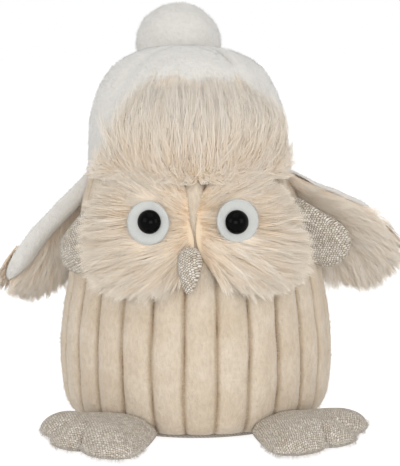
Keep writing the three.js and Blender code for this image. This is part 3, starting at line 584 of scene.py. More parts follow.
def tweed_material():
    """Rows of small woven knots, each row set half a knot along, with dark gaps between them."""
    material, tree, shader = new_material("tweed", 0.9, 0.15, sheen=0.15)
    cloth = add_node(tree, "ShaderNodeUVMap", {"uv_map": CLOTH_MAP}).outputs[0]
    turn = (0, 0, math.radians(WEAVE_TURN))
    where = add_node(tree, "ShaderNodeMapping", Vector=cloth, Rotation=turn).outputs[0]
    parts = add_node(tree, "ShaderNodeSeparateXYZ", _0=where).outputs
    wander = times(tree, maths(tree, "SUBTRACT", noise(tree, where, 220, 3), 0.5), 2.2)
    along = plus(tree, maths(tree, "DIVIDE", parts[1], ROW_SHARE * KNOT_WIDTH * MM), wander)
    rows = maths(tree, "FLOOR", along)
    half_a_knot = times(tree, maths(tree, "FLOORED_MODULO", rows, 2.0), 0.5)
    across = plus(tree, maths(tree, "DIVIDE", parts[0], KNOT_WIDTH * MM), half_a_knot)
    across = plus(tree, across, wander)
    columns = maths(tree, "FLOOR", across)
    knot = times(tree, arched(tree, across), arched(tree, along))
    yarn = add_node(tree, "ShaderNodeCombineXYZ", _0=columns, _1=rows).outputs[0]
    flat = {"noise_dimensions": "2D"}
    fleck = add_node(tree, "ShaderNodeTexWhiteNoise", flat, Vector=yarn).outputs["Value"]
    colour = ramp(
        tree, fleck, (0.0, (196, 184, 168)), (0.3, (213, 203, 189)), (0.7, (224, 215, 202)),
        (1.0, (240, 234, 224)),
    )
    colour = shaded(tree, colour, ramp(tree, knot, (0.0, (146, 135, 123)), (0.45, 1)))
    fuzz = noise(tree, object_place(tree), 2400, 2)
    relief = plus(tree, knot, times(tree, fuzz, 0.35))
    dress(tree, shader, colour, bumped(tree, relief, 0.0007, 0.8))
    return material


def twill_material():
    material, tree, shader = new_material("base_twill", 0.9, 0.15)
    lines = bands(tree, "DIAGONAL", 260.0, 0.6, 1.0)
    colour = mixed(tree, lines, srgb(158, 150, 142), srgb(184, 177, 168))
    dress(tree, shader, colour, bumped(tree, lines, 0.0004, 0.7))
    return material


def bead_material():
    material, tree, shader = new_material("black_bead", 0.08, 0.05)
    scuffs = noise(tree, object_place(tree), 700, 2)
    dress(tree, shader, mixed(tree, scuffs, srgb(2, 2, 2), srgb(6, 5, 5)))
    return material


def washer_material():
    material, tree, shader = new_material("washer_plastic", 0.45, 0.4)
    mottle = noise(tree, object_place(tree), 300, 2)
    colour = srgb(233, 233, 228)
    darker = (*(c * 0.9 for c in colour[:3]), 1)
    dress(tree, shader, mixed(tree, mottle, colour, darker), bumped(tree, mottle, 0.0001, 0.4))
    return material


def thread_material():
    material, tree, shader = new_material("thread", 0.8, 0.2)
    turns = bands(tree, "X", 450.0, 1.0, 2.0)
    colour = mixed(tree, turns, srgb(214, 207, 195), srgb(236, 231, 222))
    dress(tree, shader, colour, bumped(tree, turns, 0.0003, 0.8))
    return material


PLUSH = plush_material()
FLEECE = fleece_material()
FELT = felt_material()
TWEED = tweed_material()
TWILL = twill_material()
BEAD = bead_material()
FUR, FUR_SKIN, FLEECE_PILE, PLUSH_NAP, YARN_ENDS, FELT_FUZZ = (
    hair_material(name, *look) for name, look in HAIR_LOOKS.items()
)

# Kinds of short pile, which stands out of a surface in tufts
NAP = {"length": 1.9, "width": 0.22, "lean": 0.5, "material": PLUSH_NAP, "slot": "ribbed_plush"}
TUFTS = {"length": 1.8, "width": 0.16, "lean": 0.35, "material": FLEECE_PILE, "slot": "fleece"}
POMPOM_TUFTS = TUFTS | {"length": 2.0}
FUZZ = {"length": 1.5, "width": 0.13, "lean": 0.5, "material": FELT_FUZZ, "slot": "white_felt"}
LOOSE_YARN = {"length": 3.0, "width": 0.2, "lean": 0.8, "material": YARN_ENDS, "slot": "tweed"}


# Hair


def strand_faces(strands, rings):
    """Faces of three-sided strands that end in a point, and are closed at the root."""
    size = 3 * rings + 1
    side = np.arange(3)
    turned = (side + 1) % 3
    band = np.stack([side, turned, 3 + turned, 3 + side], 1)
    quads = np.concatenate([band + 3 * k for k in range(rings - 1)])
    last = 3 * (rings - 1)
    tip = np.stack([last + side, last + turned, np.full(3, size - 1)], 1)
    ends = np.concatenate([tip, [[2, 1, 0]]])
    starts = (np.arange(strands) * size)[:, None, None]
    return [(starts + quads).reshape(-1, 4), (starts + ends).reshape(-1, 3)]


def unit(vectors):
    return vectors / np.maximum(np.linalg.norm(vectors, axis=-1, keepdims=True), 1e-9)


def long_hair(name, paths, facing, tint, hair, body, draw):
    width = draw.uniform(*HAIR_WIDTH, len(paths))
    tint = np.clip(tint + hair["tint"], *TINT_LIMITS)
    strand_piece(name, paths, facing, width, tint, hair["softness"], FUR, body, "long_fur")


def strand_piece(name, paths, facing, width, tint, softness, material, body, slot):
    """A piece of many strands along paths of shape (strands, points, 3).

    facing is the way that the surface faces at each point. The softer, the more the shading does.
    """
    strands, count, _ = paths.shape
    tangent = unit(np.gradient(paths, axis=1))
    turn = np.random.default_rng(strands).normal(size=(strands, 1, 3))
    side = unit(np.cross(tangent, turn))
    other = np.cross(tangent, side)
    along = np.linspace(0, 1, count)
    taper = (1 - along**1.9)[None, :-1, None, None] * (width / 2)[:, None, None, None]
    angle = circle(3)[None, None, :, None]
    round_way = np.cos(angle) * side[:, :-1, None] + np.sin(angle) * other[:, :-1, None]
    corners = paths[:, :-1, None] + taper * round_way
    points = np.concatenate([corners.reshape(strands, -1, 3), paths[:, -1:]], 1)
    soft = unit(round_way * (1 - softness) + facing[:, :-1, None] * softness)
    normals = np.concatenate([soft.reshape(strands, -1, 3), facing[:, -1:]], 1)
    steps = np.append(np.repeat(along[:-1], 3), 1.0)
    values = {"along": np.tile(steps, strands), "tint": np.repeat(tint, len(steps))}
    maps = {BAKE_MAP: np.stack([values["tint"], values["along"]], 1)}
    faces = strand_faces(strands, count - 1)
    points = points.reshape(-1, 3)
    made = piece(name, points, faces, material, body, slot, values=values, maps=maps)
    made.data.normals_split_custom_set_from_vertices(normals.reshape(-1, 3))


def laid(place, flat, height):
    """Where the points of flat paths lie, and the way that the surface under them faces."""
    here = place(flat[..., 0], flat[..., 1], height)
    return here, unit(place(flat[..., 0], flat[..., 1], height + 1) - here)


def reach(a, b, flow, share, longest):
    """How far a flow runs from each point before it leaves an outline, up to the longest."""
    way_a, way_b = flow(a, b)
    size = np.hypot(way_a, way_b)
    found = np.full(np.shape(a), float(longest))
    for tried in np.arange(longest - 1, -1, -1.0):
        out = share(a + way_a / size * tried, b + way_b / size * tried) > 1
        found = np.where(out, tried, found)
    return found


def scattered(count, inside, half, draw):
    """Random points of a flat pattern."""
    found = np.empty((0, 2))
    while len(found) < count:
        tried = draw.uniform(-1, 1, (count, 2)) * half
        found = np.concatenate([found, tried[inside(tried[:, 0], tried[:, 1])]])
    return found[:count]


def walked(roots, length, flow, twist):
    """Flat paths that follow a flow from their roots, each turned by its own twist."""
    steps = [roots]
    cos, sin = np.cos(twist), np.sin(twist)
    for _ in ALONG[1:]:
        a, b = flow(*steps[-1].T)
        size = np.maximum(np.hypot(a, b), 1e-6)
        way = np.stack([(a * cos - b * sin) / size, (a * sin + b * cos) / size], 1)
        steps.append(steps[-1] + way * (length / (HAIR_POINTS - 1))[:, None])
    return np.stack(steps, 1)


def combed(hair, inside, half, flow, length, rise, draw):
    """Flat paths, heights and tints of hairs that gather into locks towards their tips.

    length and rise are functions of the root's (a, b) that give reach along the cloth and height.
    """
    roots = scattered(hair["hairs"], inside, half, draw)
    locks = scattered(hair["locks"], inside, half, draw)
    lock_at = locks[:, None] - roots[None]
    nearest = np.argmin((lock_at**2).sum(-1), 0)
    lock_twist = draw.normal(0, hair["stray"], len(locks))
    lock_size = draw.uniform(*LOCK_SIZE, len(locks))
    lock_rise = draw.uniform(*LOCK_RISE, len(locks))
    own_twist = lock_twist[nearest] + draw.normal(0, hair["stray"] * OWN_STRAY, len(roots))
    size = lock_size[nearest] * draw.uniform(hair["shortest"], LONGEST, len(roots))
    own = walked(roots, length(*roots.T) * size, flow, own_twist)
    shared = walked(locks, length(*locks.T) * lock_size, flow, lock_twist)
    pull = (hair["clump"] * ALONG**GATHER_POWER)[None, :, None]
    flat = own * (1 - pull) + shared[nearest] * pull
    high = rise(*roots.T) * lock_rise[nearest]
    in_layer = 1.05 - 0.7 * draw.uniform(0, 1, len(roots)) ** 1.6
    height = (high * in_layer)[:, None] * (1 - (1 - ALONG) ** RISE_POWER)[None]
    lock_tint = 0.5 + TINT_SPREAD * draw.normal(size=len(locks))[nearest]
    tint = np.clip(lock_tint + TINT_SPREAD * draw.normal(size=len(roots)), *TINT_LIMITS)
    return flat, height, tint


def pile_piece(name, points, faces, weigh, count, kind, body, seed):
    """Short curled fibres on a closed surface.

    weigh(middles, normals) says how densely each face is covered.
    """
    draw = np.random.default_rng(seed)
    corners = [f[:, [0, k, k + 1]] for f in faces for k in range(1, f.shape[1] - 1)]
    first, second, third = points[np.concatenate(corners)].transpose(1, 0, 2)
    normal = np.cross(second - first, third - first)
    area = np.linalg.norm(normal, axis=1)
    normal = unit(normal)
    weight = area * weigh((first + second + third) / 3, normal)
    chosen = draw.choice(len(first), count, p=weight / weight.sum())
    u, v = draw.uniform(0, 1, (2, count, 1))
    flip = u + v > 1
    u, v = np.where(flip, 1 - u, u), np.where(flip, 1 - v, v)
    root = first[chosen] * (1 - u - v) + second[chosen] * u + third[chosen] * v
    normal = normal[chosen]
    tuft = np.stack([waves(root, 5, seed + k) for k in range(3)], 1)
    way = unit(normal + kind["lean"] * tuft + 0.35 * draw.normal(size=(count, 3)))
    bent = unit(way + 0.9 * kind["lean"] * tuft + [0, 0, -0.35])
    size = (kind["length"] * draw.uniform(0.6, 1.15, count))[:, None]
    root = root - normal * 0.4
    middle = root + way * size * 0.55
    paths = np.stack([root, middle, middle + bent * size * 0.5], 1)
    facing = np.repeat(normal[:, None], 3, 1)
    tint = np.clip(0.5 + 0.08 * tuft[:, 0] + 0.08 * draw.normal(size=count), *TINT_LIMITS)
    width = kind["width"] * draw.uniform(0.7, 1.2, count)
    material, slot = kind["material"], kind["slot"]
    strand_piece(name, paths, facing, width, tint, PILE_SOFTNESS, material, body, slot)


def evenly(middles, normals):
    return np.ones(len(middles))


# The body


def body_rings(angle):
    """Rings up the body, closer where it curves more."""
    low, side, over = BODY_RINGS
    turn = np.linspace(0, math.pi / 2, low)
    heights = WIDEST_Z - (WIDEST_Z - COVER_BOTTOM_Z) * np.cos(turn)
    heights = np.concatenate([heights, np.linspace(WIDEST_Z, HEAD_Z, side)[1:-1]])
    rings = [on_body(angle, z, -rib_dip(angle, z)) for z in heights]
    return rings + [dome_point(angle, rise, 0) for rise in np.linspace(0, math.pi / 2, over)[:-1]]


def rib_dip(angle, z):
    """How deep the cloth lies below a rib's crest, where the grooves wander a little."""
    wander = sum(size * np.sin(z / run + turns * angle) for size, run, turns in GROOVE_WANDER)
    across = (angle - math.radians(RIB_TURN) + wander) * RIB_COUNT / (2 * math.pi)
    off_crest = np.abs((across % 1) * 2 - 1)
    fade = 1 - smooth(z, HAT_HEM_Z - 2, HEAD_Z)
    dip = RIB_ROUND * (1 - rounded(off_crest, RIB_POWER)) + (1 - RIB_ROUND) * off_crest**2
    return RIB_DEPTH * fade * dip


def make_body():
    angle = circle(RIB_COUNT * POINTS_PER_RIB)
    under = [on_body(angle, COVER_BOTTOM_Z, -inset) for inset in TURNED_IN]
    bottom, top = around_body(0, 0, COVER_BOTTOM_Z), around_body(0, 0, HEAD_TOP_Z)
    points, faces = stacked([bottom, *under, *body_rings(angle), top])
    spoke = points - around_body(0, 0, points[:, 2])
    dip = crest_radius(points[:, 2]) - np.linalg.norm(spoke, axis=1)
    across = points[:, 0] / BROW_HALF[0]
    up = (points[:, 2] - BROW_Z) / BROW_HALF[1]
    brow = BROW_SWELL * np.exp(-(across**2) - up**2) * (points[:, 1] < 0)
    swell = (lumps(points, BODY_LUMPS) + brow) * (points[:, 2] > SEAM_TOP_Z)
    points = points + unit(spoke) * swell[:, None]
    piece(
        "body_plush", points, faces, PLUSH, "torso", "ribbed_plush",
        ["body_cover", "body_filling", "ballast_bag"], fill=0.9,
        # how deep each point lies in a groove, where the plush material paints shade
        values={"groove_shade": np.clip(dip / RIB_DEPTH, 0, 1)},
    )

    def in_view(middles, normals):
        return (middles[:, 2] > SEAM_TOP_Z) & (middles[:, 2] < HAT_HEM_Z)

    for part, seed in (("first", 15), ("second", 16)):
        pile_piece(f"body_nap_{part}", points, faces, in_view, 19000, NAP, "torso", seed)


def make_base():
    angle = circle(96)
    rings = [around_body(angle, BASE_RADIUS - inset, z) for inset, z in PANEL_PROFILE]
    bottom, top = (around_body(0, 0, PANEL_PROFILE[k][1]) for k in (0, -1))
    points, faces = stacked([bottom, *rings, top])
    piece("base_twill", points, faces, TWILL, "torso", "base_twill", ["base_panel"])


def fur_backing(name, surface, tint, body, node, fill):
    """The cloth that long hair grows from."""
    points, faces, _ = surface
    values = {"along": np.full(len(points), 0.5), "tint": np.full(len(points), tint)}
    piece(name, points, faces, FUR_SKIN, body, "long_fur", [node], fill=fill, values=values)


# The face


def disc_place(sign):
    radius = crest_radius(EYE_Z[sign])
    middle = math.radians(EYE_ANGLE) - EYE_ON_DISC[0] / radius

    def place(a, b, height):
        angle = math.radians(FACE_TURN) + sign * (middle + a / radius)
        return on_body(angle, EYE_Z[sign] - EYE_ON_DISC[1] + b, height)

    return place


def disc_flow(a, b):
    return a - PARTING_ON_DISC[0], b - PARTING_ON_DISC[1]


def disc_fur(sign):
    """The share of a disc's fur, which reaches up to the brim and into the inner corner."""

    def share(a, b):
        half = DISC_HALF[0] + np.where(a < 0, -FUR_DRAWN_IN, FUR_SPREAD)
        power = np.where(a < 0, INNER_POWER[sign], FUR_POWER)
        upper = share_of(a, b, (half, DISC_HALF[1] + FUR_TO_BRIM), power)
        return np.where(b > 0, upper, share_of(a, b, (half, DISC_HALF[1]), DISC_POWER))

    return share


def off_eye(a, b):
    return np.hypot(a - EYE_ON_DISC[0], b - EYE_ON_DISC[1])


def make_face(name, sign):
    draw = np.random.default_rng(SEED + 20 + sign)
    fur_share = disc_fur(sign)
    place = disc_place(sign)

    def outline(angle):
        return superellipse(DISC_HALF[0] - 0.5, DISC_HALF[1] - 1.5, DISC_POWER, angle)

    surface = pad(outline, place, crown(3.4, 1.6), level(0.5), 96, 14)
    fur_backing(f"{name}_face_backing", surface, 0.45, "torso", f"{name}_face_fur", 0.5)

    def inside(a, b):
        return (fur_share(a, b) < 1) & (off_eye(a, b) > FELT_RADIUS - 3)

    def rise(a, b):
        return DISC_LOW + (DISC_THICKNESS - DISC_LOW) * rounded(fur_share(a, b), 3)

    def length(a, b):
        return np.clip(reach(a, b, disc_flow, fur_share, 28) + 5, 10, 25)

    room = np.array(DISC_HALF) + 6
    low, gain, over = HAIR_OVER_EYE
    for part in ("under", "middle", "over"):
        flat, height, tint = combed(FACE_HAIR, inside, room, disc_flow, length, rise, draw)
        a, b = flat[..., 0], flat[..., 1]
        share = share_of(a, b, DISC_HALF, DISC_POWER)
        highest = low + gain * smooth(off_eye(a, b), FELT_RADIUS, FELT_RADIUS + over)
        height = np.minimum(height, highest) + 1.6 + 2.5 * np.maximum(share - 1, 0)
        paths, facing = laid(place, flat, height)
        paths[..., 2] -= 3.5 * ALONG**2 * np.maximum(share - 0.9, 0)
        long_hair(f"{name}_face_hair_{part}", paths, facing, tint, FACE_HAIR, "torso", draw)


def eye_frame(sign):
    """The middle of an eye's back, the way that it looks, and its right and up."""
    angle = math.radians(FACE_TURN + sign * EYE_ANGLE)
    pitch = math.radians(EYE_PITCH)
    out = heading(angle) * math.cos(pitch) + [0, 0, math.sin(pitch)]
    right = unit(np.cross([0, 0, 1], out))
    return on_body(angle, EYE_Z[sign], EYE_SEAT), out, right, np.cross(out, right)


def turned_form(profile, segments, where):
    """A round form from a profile of radius and height that starts and ends on its axis."""
    seat, out, right, up = where
    angle = circle(segments)[:, None]
    spoke = np.cos(angle) * right + np.sin(angle) * up
    rings = [seat + out * height + radius * spoke for radius, height in profile[1:-1]]
    first, last = (seat + out * profile[k][1] for k in (0, -1))
    return stacked([first, *rings, last])


def make_eye(name, sign):
    seat, out, right, up = eye_frame(sign)
    felt = [(FELT_RADIUS - inset, height) for inset, height in FELT_PROFILE]
    felt = [(0, felt[0][1]), *felt, (0, felt[-1][1])]
    points, faces = turned_form(felt, 72, (seat, out, right, up))
    points = points + out * lumps(points, FELT_LUMPS)[:, None]
    nodes = [f"{name}_eye_felt"]
    piece(f"{name}_eye_disc", points, faces, FELT, "torso", "white_felt", nodes, fill=0.2)

    def at_rim(middles, normals):
        spoke = middles - seat
        spoke = spoke - (spoke @ out)[:, None] * out
        return np.linalg.norm(spoke, axis=1) > FELT_RADIUS - 1.2

    pile_piece(f"{name}_eye_fuzz", points, faces, at_rim, 1500, FUZZ, "torso", 35 + sign)
    rises = np.linspace(0, math.pi / 2, 14)[:-1]
    dome = [(BEAD_RADIUS * math.cos(t), BEAD_RIM + BEAD_DOME * math.sin(t)) for t in rises]
    bead = [*BEAD_SHANK, *dome, (0, BEAD_RIM + BEAD_DOME)]
    seat = seat + (right * BEAD_ON_FELT[sign][0] + up * BEAD_ON_FELT[sign][1])
    points, faces = turned_form(bead, 64, (seat, out, right, up))
    piece(f"{name}_eye_dome", points, faces, BEAD, "torso", "black_bead", [f"{name}_eye_bead"])


def lofted(middle, across, through, width, thickness, length, segments, rings, power):
    """A stuffed limb along its middle, whose half width and thickness are functions of 0 to 1."""
    share = (1 - np.cos(np.linspace(0, math.pi, rings + 1))) / 2
    angle = circle(segments)
    stack, flat = [middle(share[0])], [np.zeros((1, 2))]
    for t in share[1:-1]:
        a = np.sign(np.cos(angle)) * np.abs(np.cos(angle)) ** power * width(t)
        h = np.sign(np.sin(angle)) * np.abs(np.sin(angle)) ** power * thickness(t)
        stack.append(middle(t) + a[:, None] * across + h[:, None] * through)
        # the pattern is how far it is across the cloth, on either side, and down the limb
        flat.append(np.stack([a + h, np.full(segments, length * t)], 1))
    stack.append(middle(share[-1]))
    flat.append(np.array([[0, length]]))
    points, faces = stacked(stack)
    return points, faces, np.concatenate(flat)


def stuffed_limb(limb, points, faces, cloth, fill):
    piece(
        f"{limb}_tweed", points, faces, TWEED, limb, "tweed", [f"{limb}_cover", f"{limb}_filling"],
        fill=fill, maps={CLOTH_MAP: cloth * MM},
    )


def make_beak():
    top = on_body(BEAK_TOP_TURN, BEAK_TOP_Z, BEAK_TOP_OFFSET)
    slant = math.radians(BEAK_SLANT)
    tip_z = BEAK_TOP_Z - BEAK_LENGTH * math.cos(slant)
    tip_turn = -BEAK_LENGTH * math.sin(slant) / crest_radius(tip_z)
    along = unit(on_body(tip_turn, tip_z, BEAK_TIP_OFFSET) - top)
    across = unit(np.cross([0, -1, 0], along))

    def swell(t):
        return (4 * t * (1 - t)) ** 0.5 * (1.12 - 0.62 * t)

    stuffed_limb("beak", *lofted(
        lambda t: top + along * BEAK_LENGTH * t, across, np.cross(along, across),
        lambda t: BEAK_HALF[0] * swell(t), lambda t: BEAK_HALF[1] * swell(t),
        BEAK_LENGTH, 48, 26, 0.9,
    ), 0.8)


# The hat


def make_crown():
    angle = circle(HAT_SEGMENTS)
    rises = np.concatenate([np.linspace(-1, 0, 7)[:-1], np.linspace(0, math.pi / 2, 44)[:-1]])
    seams = GORE_SEAM * np.abs(np.sin(2 * (angle - math.radians(RIB_TURN)))) ** 24
    outside, within = HAT_OFFSET - 1, HAT_OFFSET - HAT_WALL

    def ring(rise, offset):
        """A ring of the dome, or for a rise under 0 one between the dome's foot and the hem."""
        if rise < 0:
            return on_body(angle, HEAD_Z + rise * (HEAD_Z - HAT_HEM_Z), offset)
        return dome_point(angle, rise, offset)

    outer = [ring(rise, outside - seams * (rise < 1.45)) for rise in rises]
    inner = [ring(rise, within) for rise in rises[::-1]]
    lip = [ring(-1, HAT_OFFSET - HAT_WALL * s) + [0, 0, -0.5] for s in (0.7, 0.4)]
    first, last = (around_body(0, 0, HEAD_TOP_Z + offset) for offset in (within, outside))
    points, faces = stacked([first, *inner, *lip, *outer, last])
    run = CREASE[1] - CREASE[0]
    along = np.clip((points - CREASE[0]) @ run / (run @ run), 0, 1)
    off_crease = np.linalg.norm(points - CREASE[0] - along[:, None] * run, axis=1)
    crease = CREASE_DEPTH * np.exp(-((off_crease / CREASE_WIDTH) ** 2))
    swell = lumps(points, HAT_LUMPS) - crease
    points = points + unit(points - around_body(0, 0, HAT_MIDDLE_Z)) * swell[:, None]
    piece("hat_fleece", points, faces, FLEECE, "torso", "fleece", ["hat_crown"], fill=0.3)

    def weigh(middles, normals):
        spoke = middles - around_body(0, 0, middles[:, 2])
        on_outside = (normals * (middles - [0, 0, HAT_MIDDLE_Z])).sum(1) > 0
        turn = np.abs(np.degrees(np.arctan2(spoke[:, 0], -spoke[:, 1])) - BRIM_TURN)
        hidden = (turn < BEHIND_BRIM[0]) & (middles[:, 2] < BEHIND_BRIM[1])
        return on_outside * np.where(hidden, 0.05, 1)

    for part, seed in (("first", 101), ("second", 102)):
        pile_piece(f"hat_pile_{part}", points, faces, weigh, 10000, TUFTS, "torso", seed)


def brim_place(a, b, height):
    across = a * (1 - BRIM_TAPER * b / BRIM_HALF[1])
    angle = math.radians(BRIM_TURN) + across / HEAD_RADIUS
    return on_body(angle, BRIM_MIDDLE_Z + b, HAT_OFFSET + height)


def brim_share(a, b):
    """Below, the fur fills the corners of the brim's outline."""
    return share_of(a, b, BRIM_HALF, np.where(b < 0, 8.0, BRIM_POWER))


def brim_low(a, b):
    """1 along the lower edge and in its corners, and 0 above them."""
    return 1 - smooth(b, -BRIM_HALF[1] - 1, -BRIM_HALF[1] + 5 + 6 * (a / BRIM_HALF[0]) ** 4)


def brim_flow(a, b):
    """Up and a little outwards, but out to the sides and down along the lower edge."""
    low = brim_low(a, b)
    return 0.34 * a / BRIM_HALF[0] + 0.8 * low * np.tanh(a / 20), 1 - 1.55 * low


def brim_drawn_in(a):
    """How far the long hairs' roots stay off the brim's ends."""
    return np.where(a < 0, 15, 11)


def brim_rise(a, b):
    full = BRIM_THICKNESS - 4
    return 3 + full * rounded(brim_share(a, b), BRIM_POWER) * (1 - 0.55 * smooth(b, -10, 24))


def brim_length(a, b):
    ragged = 6 * waves(np.stack([a, b, 0 * a], 1), 5, 43)
    top = BRIM_HALF[1] + 1 + ragged - 13 * np.abs(a / BRIM_HALF[0]) ** 3
    lower = 12 + 5 * (a / BRIM_HALF[0]) ** 2
    cornered = (brim_low(a, b) > 0.5) | (np.abs(a) > BRIM_HALF[0] - brim_drawn_in(a))
    return np.where(cornered, lower, np.clip(top - b, 12, 34))


def make_brim():
    draw = np.random.default_rng(SEED + 40)

    def outline(angle):
        a, b = superellipse(BRIM_HALF[0] - 9, BRIM_HALF[1] - 1, BRIM_POWER, angle)
        return a, np.where(b > 0, 0.6 * b, b)

    surface = pad(outline, brim_place, crown(5.6, 1.6), level(-1), 128, 16)
    fur_backing("hat_brim_backing", surface, 0.45, "torso", "hat_brim_fur", 0.6)

    def inside(a, b):
        thinned = draw.uniform(0, 1, len(a)) < 1 - 0.93 * smooth(b, -14, 15)
        upper = smooth(b, -BRIM_HALF[1], -BRIM_HALF[1] + 12)
        drawn_in = np.abs(a) < BRIM_HALF[0] - brim_drawn_in(a) * upper
        return (brim_share(a, b) < 1) & thinned & drawn_in

    for part in ("under", "inner", "middle", "over"):
        flat, height, tint = combed(
            BRIM_HAIR, inside, BRIM_HALF, brim_flow, brim_length, brim_rise, draw
        )
        above = np.maximum(flat[..., 1] - BRIM_HALF[1] + 22, 0)
        tint = tint + BRIM_TOP_TINT * smooth(flat[:, -1, 1], 4, 26)
        # past the lower edge the hairs are pressed together
        below = np.maximum(-BRIM_HALF[1] - flat[..., 1], 0)
        flat[..., 1] += below - 4 * (1 - np.exp(-below / 4))
        height = np.maximum(height + 1.6 - 0.3 * above, 0.6)
        paths, facing = laid(brim_place, flat, height)
        long_hair(f"hat_brim_hair_{part}", paths, facing, tint, BRIM_HAIR, "torso", draw)


def make_pompom():
    low, high = (np.array(v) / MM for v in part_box("pompom_cover"))
    middle = (low + high) / 2
    radius = POMPOM_RADIUS - 1
    turns = np.linspace(0, math.pi, 42)
    profile = [(radius * math.sin(t), -radius * math.cos(t)) for t in turns]
    across, ahead, up = np.eye(3)
    points, faces = turned_form(profile, 72, (middle, up, across, ahead))
    points = points + unit(points - middle) * lumps(points, POMPOM_LUMPS)[:, None]
    nodes = ["pompom_cover", "pompom_filling"]
    piece("pompom_fleece", points, faces, FLEECE, "pompom", "fleece", nodes, fill=0.9)
    pile_piece("pompom_pile", points, faces, evenly, 9000, POMPOM_TUFTS, "pompom", 111)


# The ear flaps


def flap_place(sign):
    side = FLAPS[sign]
    root = on_body(sign * math.radians(FLAP_ROOT_ANGLE), HAT_HEM_Z, HAT_OFFSET - FLAP_ROOT_SINK)
    droop = math.radians(side["droop"])
    along = np.array([sign * math.cos(droop), 0, -math.sin(droop)])
    lifted = np.array([sign * math.sin(droop), 0, math.cos(droop)])
    ahead = np.array([0, -1.0, 0])

    def place(a, b, height):
        a, b, height = np.broadcast_arrays(a, b, height)
        from_seam = a + FLAP_HALF[0]
        turned = smooth(from_seam / (2 * FLAP_HALF[0]), 0, FLAP_TWIST_SHARE)
        twist = FLAP_ROOT_TWIST + (side["twist"] - FLAP_ROOT_TWIST) * turned
        twist = np.radians(twist)[..., None]
        width = ahead * np.cos(twist) + lifted * np.sin(twist)
        outer = lifted * np.cos(twist) - ahead * np.sin(twist)
        rise = height - FLAP_CUP * (b / FLAP_HALF[1]) ** 2
        flat = along * from_seam[..., None] + width * b[..., None]
        return root + [0, 0, FLAP_ROOT_RISE] + flat + outer * rise[..., None]

    return place


def flap_width(a):
    """The pattern's width at a, as a share of the widest: narrow at the seam."""
    widening = smooth(a, -FLAP_HALF[0], FLAP_HALF[0] / 2)
    return FLAP_ROOT_SHARE + (1 - FLAP_ROOT_SHARE) * widening


def flap_outline(margin):
    def outline(angle):
        a, b = superellipse(FLAP_HALF[0] - margin, FLAP_HALF[1] - margin, FLAP_POWER, angle)
        return a, b * flap_width(a)

    return outline


def flap_share(a, b):
    return share_of(a, b / flap_width(a), FLAP_HALF, FLAP_POWER)


def make_flap(name, sign):
    side = FLAPS[sign]
    place = flap_place(sign)
    body = f"{name}_ear_flap"
    outline = flap_outline(0)

    def inner(share, angle):
        """Flat, but for the front edge, which is rolled over towards the fur."""
        a, b = outline(angle)
        half = (FLAP_HALF[1] - side["rolled"]) / 2
        off_middle = b * share / flap_width(a * share) - side["rolled"] - half
        return -side["roll"] * rounded(share, 8) * rounded(np.abs(off_middle / half), 2)

    points, faces, _ = pad(outline, place, crown(FLAP_WALL, 1.2), inner, 128, 24)
    points = points + [0, 0, 1] * lumps(points, FLAP_LUMPS)[:, None]
    nodes = [f"{name}_flap_fleece"]
    piece(f"{name}_flap_cloth", points, faces, FLEECE, body, "fleece", nodes, fill=0.2)
    pile_piece(f"{name}_flap_pile", points, faces, evenly, 8000, TUFTS, body, 120 + sign)
    surface = pad(flap_outline(2), place, crown(-3.2, -1), level(-0.4), 96, 14)
    # the flap's backing takes its pale colour, as painted light in the shade of the lining
    fur_backing(f"{name}_flap_backing", surface, 0.99, body, f"{name}_flap_fur", 0.5)


def make_flap_hair(name, sign):
    draw = np.random.default_rng(SEED + 60 + sign)
    side = FLAPS[sign]
    place = flap_place(sign)
    body = f"{name}_ear_flap"

    def inside(a, b):
        return (flap_share(a, b) < 1) & (a > -44) & (b / flap_width(a) < side["rolled"] + 1)

    def flow(a, b):
        return np.maximum(a + side["back"], 12), b - side["parting"]

    def length(a, b):
        return np.clip(reach(a, b, flow, flap_share, 26) + side["fringe"], 9, 26)

    def rise(a, b):
        return 4 + 5 * rounded(flap_share(a, b), 3)

    for part in ("under", "over"):
        flat, height, tint = combed(FLAP_HAIR, inside, FLAP_HALF, flow, length, rise, draw)
        height = height + 1 + 1.8 * rounded(flap_share(flat[..., 0], flat[..., 1]), 2)
        paths, facing = laid(lambda a, b, h: place(a, b, -h), flat, height)
        paths[..., 2] -= side["hang"] * ALONG**2
        # the hairs hang, so that their sides face ahead and up
        facing = unit(0.5 * facing + [0, -1, 0.4])
        long_hair(f"{name}_flap_hair_{part}", paths, facing, tint, FLAP_HAIR, body, draw)

    def at_end(a, b):
        return (flap_share(a, b) < 1) & (draw.uniform(0, 1, len(a)) < smooth(a, 18, 38))

    flat, height, tint = combed(
        END_HAIR, at_end, FLAP_HALF, flow, lambda a, b: 11.0, lambda a, b: 2.2, draw
    )
    paths, facing = laid(place, flat, height + 3.4)
    paths[..., 2] -= 2 * side["hang"] * ALONG**2
    facing = unit(facing + [0, -0.5, 0.4])
    long_hair(f"{name}_flap_hair_end", paths, facing, tint, END_HAIR, body, draw)


# The wings and the feet


def make_wing(name, sign):
    side = WINGS[sign]
    angle = sign * math.radians(side["angle"])
    seam_top = on_body(angle, WING_TOP_Z, 0)
    along = unit(on_body(angle, WING_TOP_Z - WING_LENGTH, 0) - seam_top)
    yaw = math.radians(side["yaw"])
    across = np.array([sign * math.cos(yaw), math.sin(yaw), 0])
    across = unit(across - along * (across @ along))
    top = seam_top - across * WING_SINK + along * side["drop"]

    def half(t):
        return WING_HALF * (WING_ROOT_SHARE + (1 - WING_ROOT_SHARE) * smooth(t, 0, 0.75))

    def round_off(t):
        return rounded(abs(2 * t - 1), WING_POWER)

    stuffed_limb(f"{name}_wing", *lofted(
        lambda t: top + along * WING_LENGTH * t + across * half(t), across,
        unit(np.cross(along, across)), lambda t: half(t) * round_off(t),
        lambda t: WING_HALF_THICKNESS * round_off(t), WING_LENGTH, 64, 36, 0.85,
    ), 0.7)


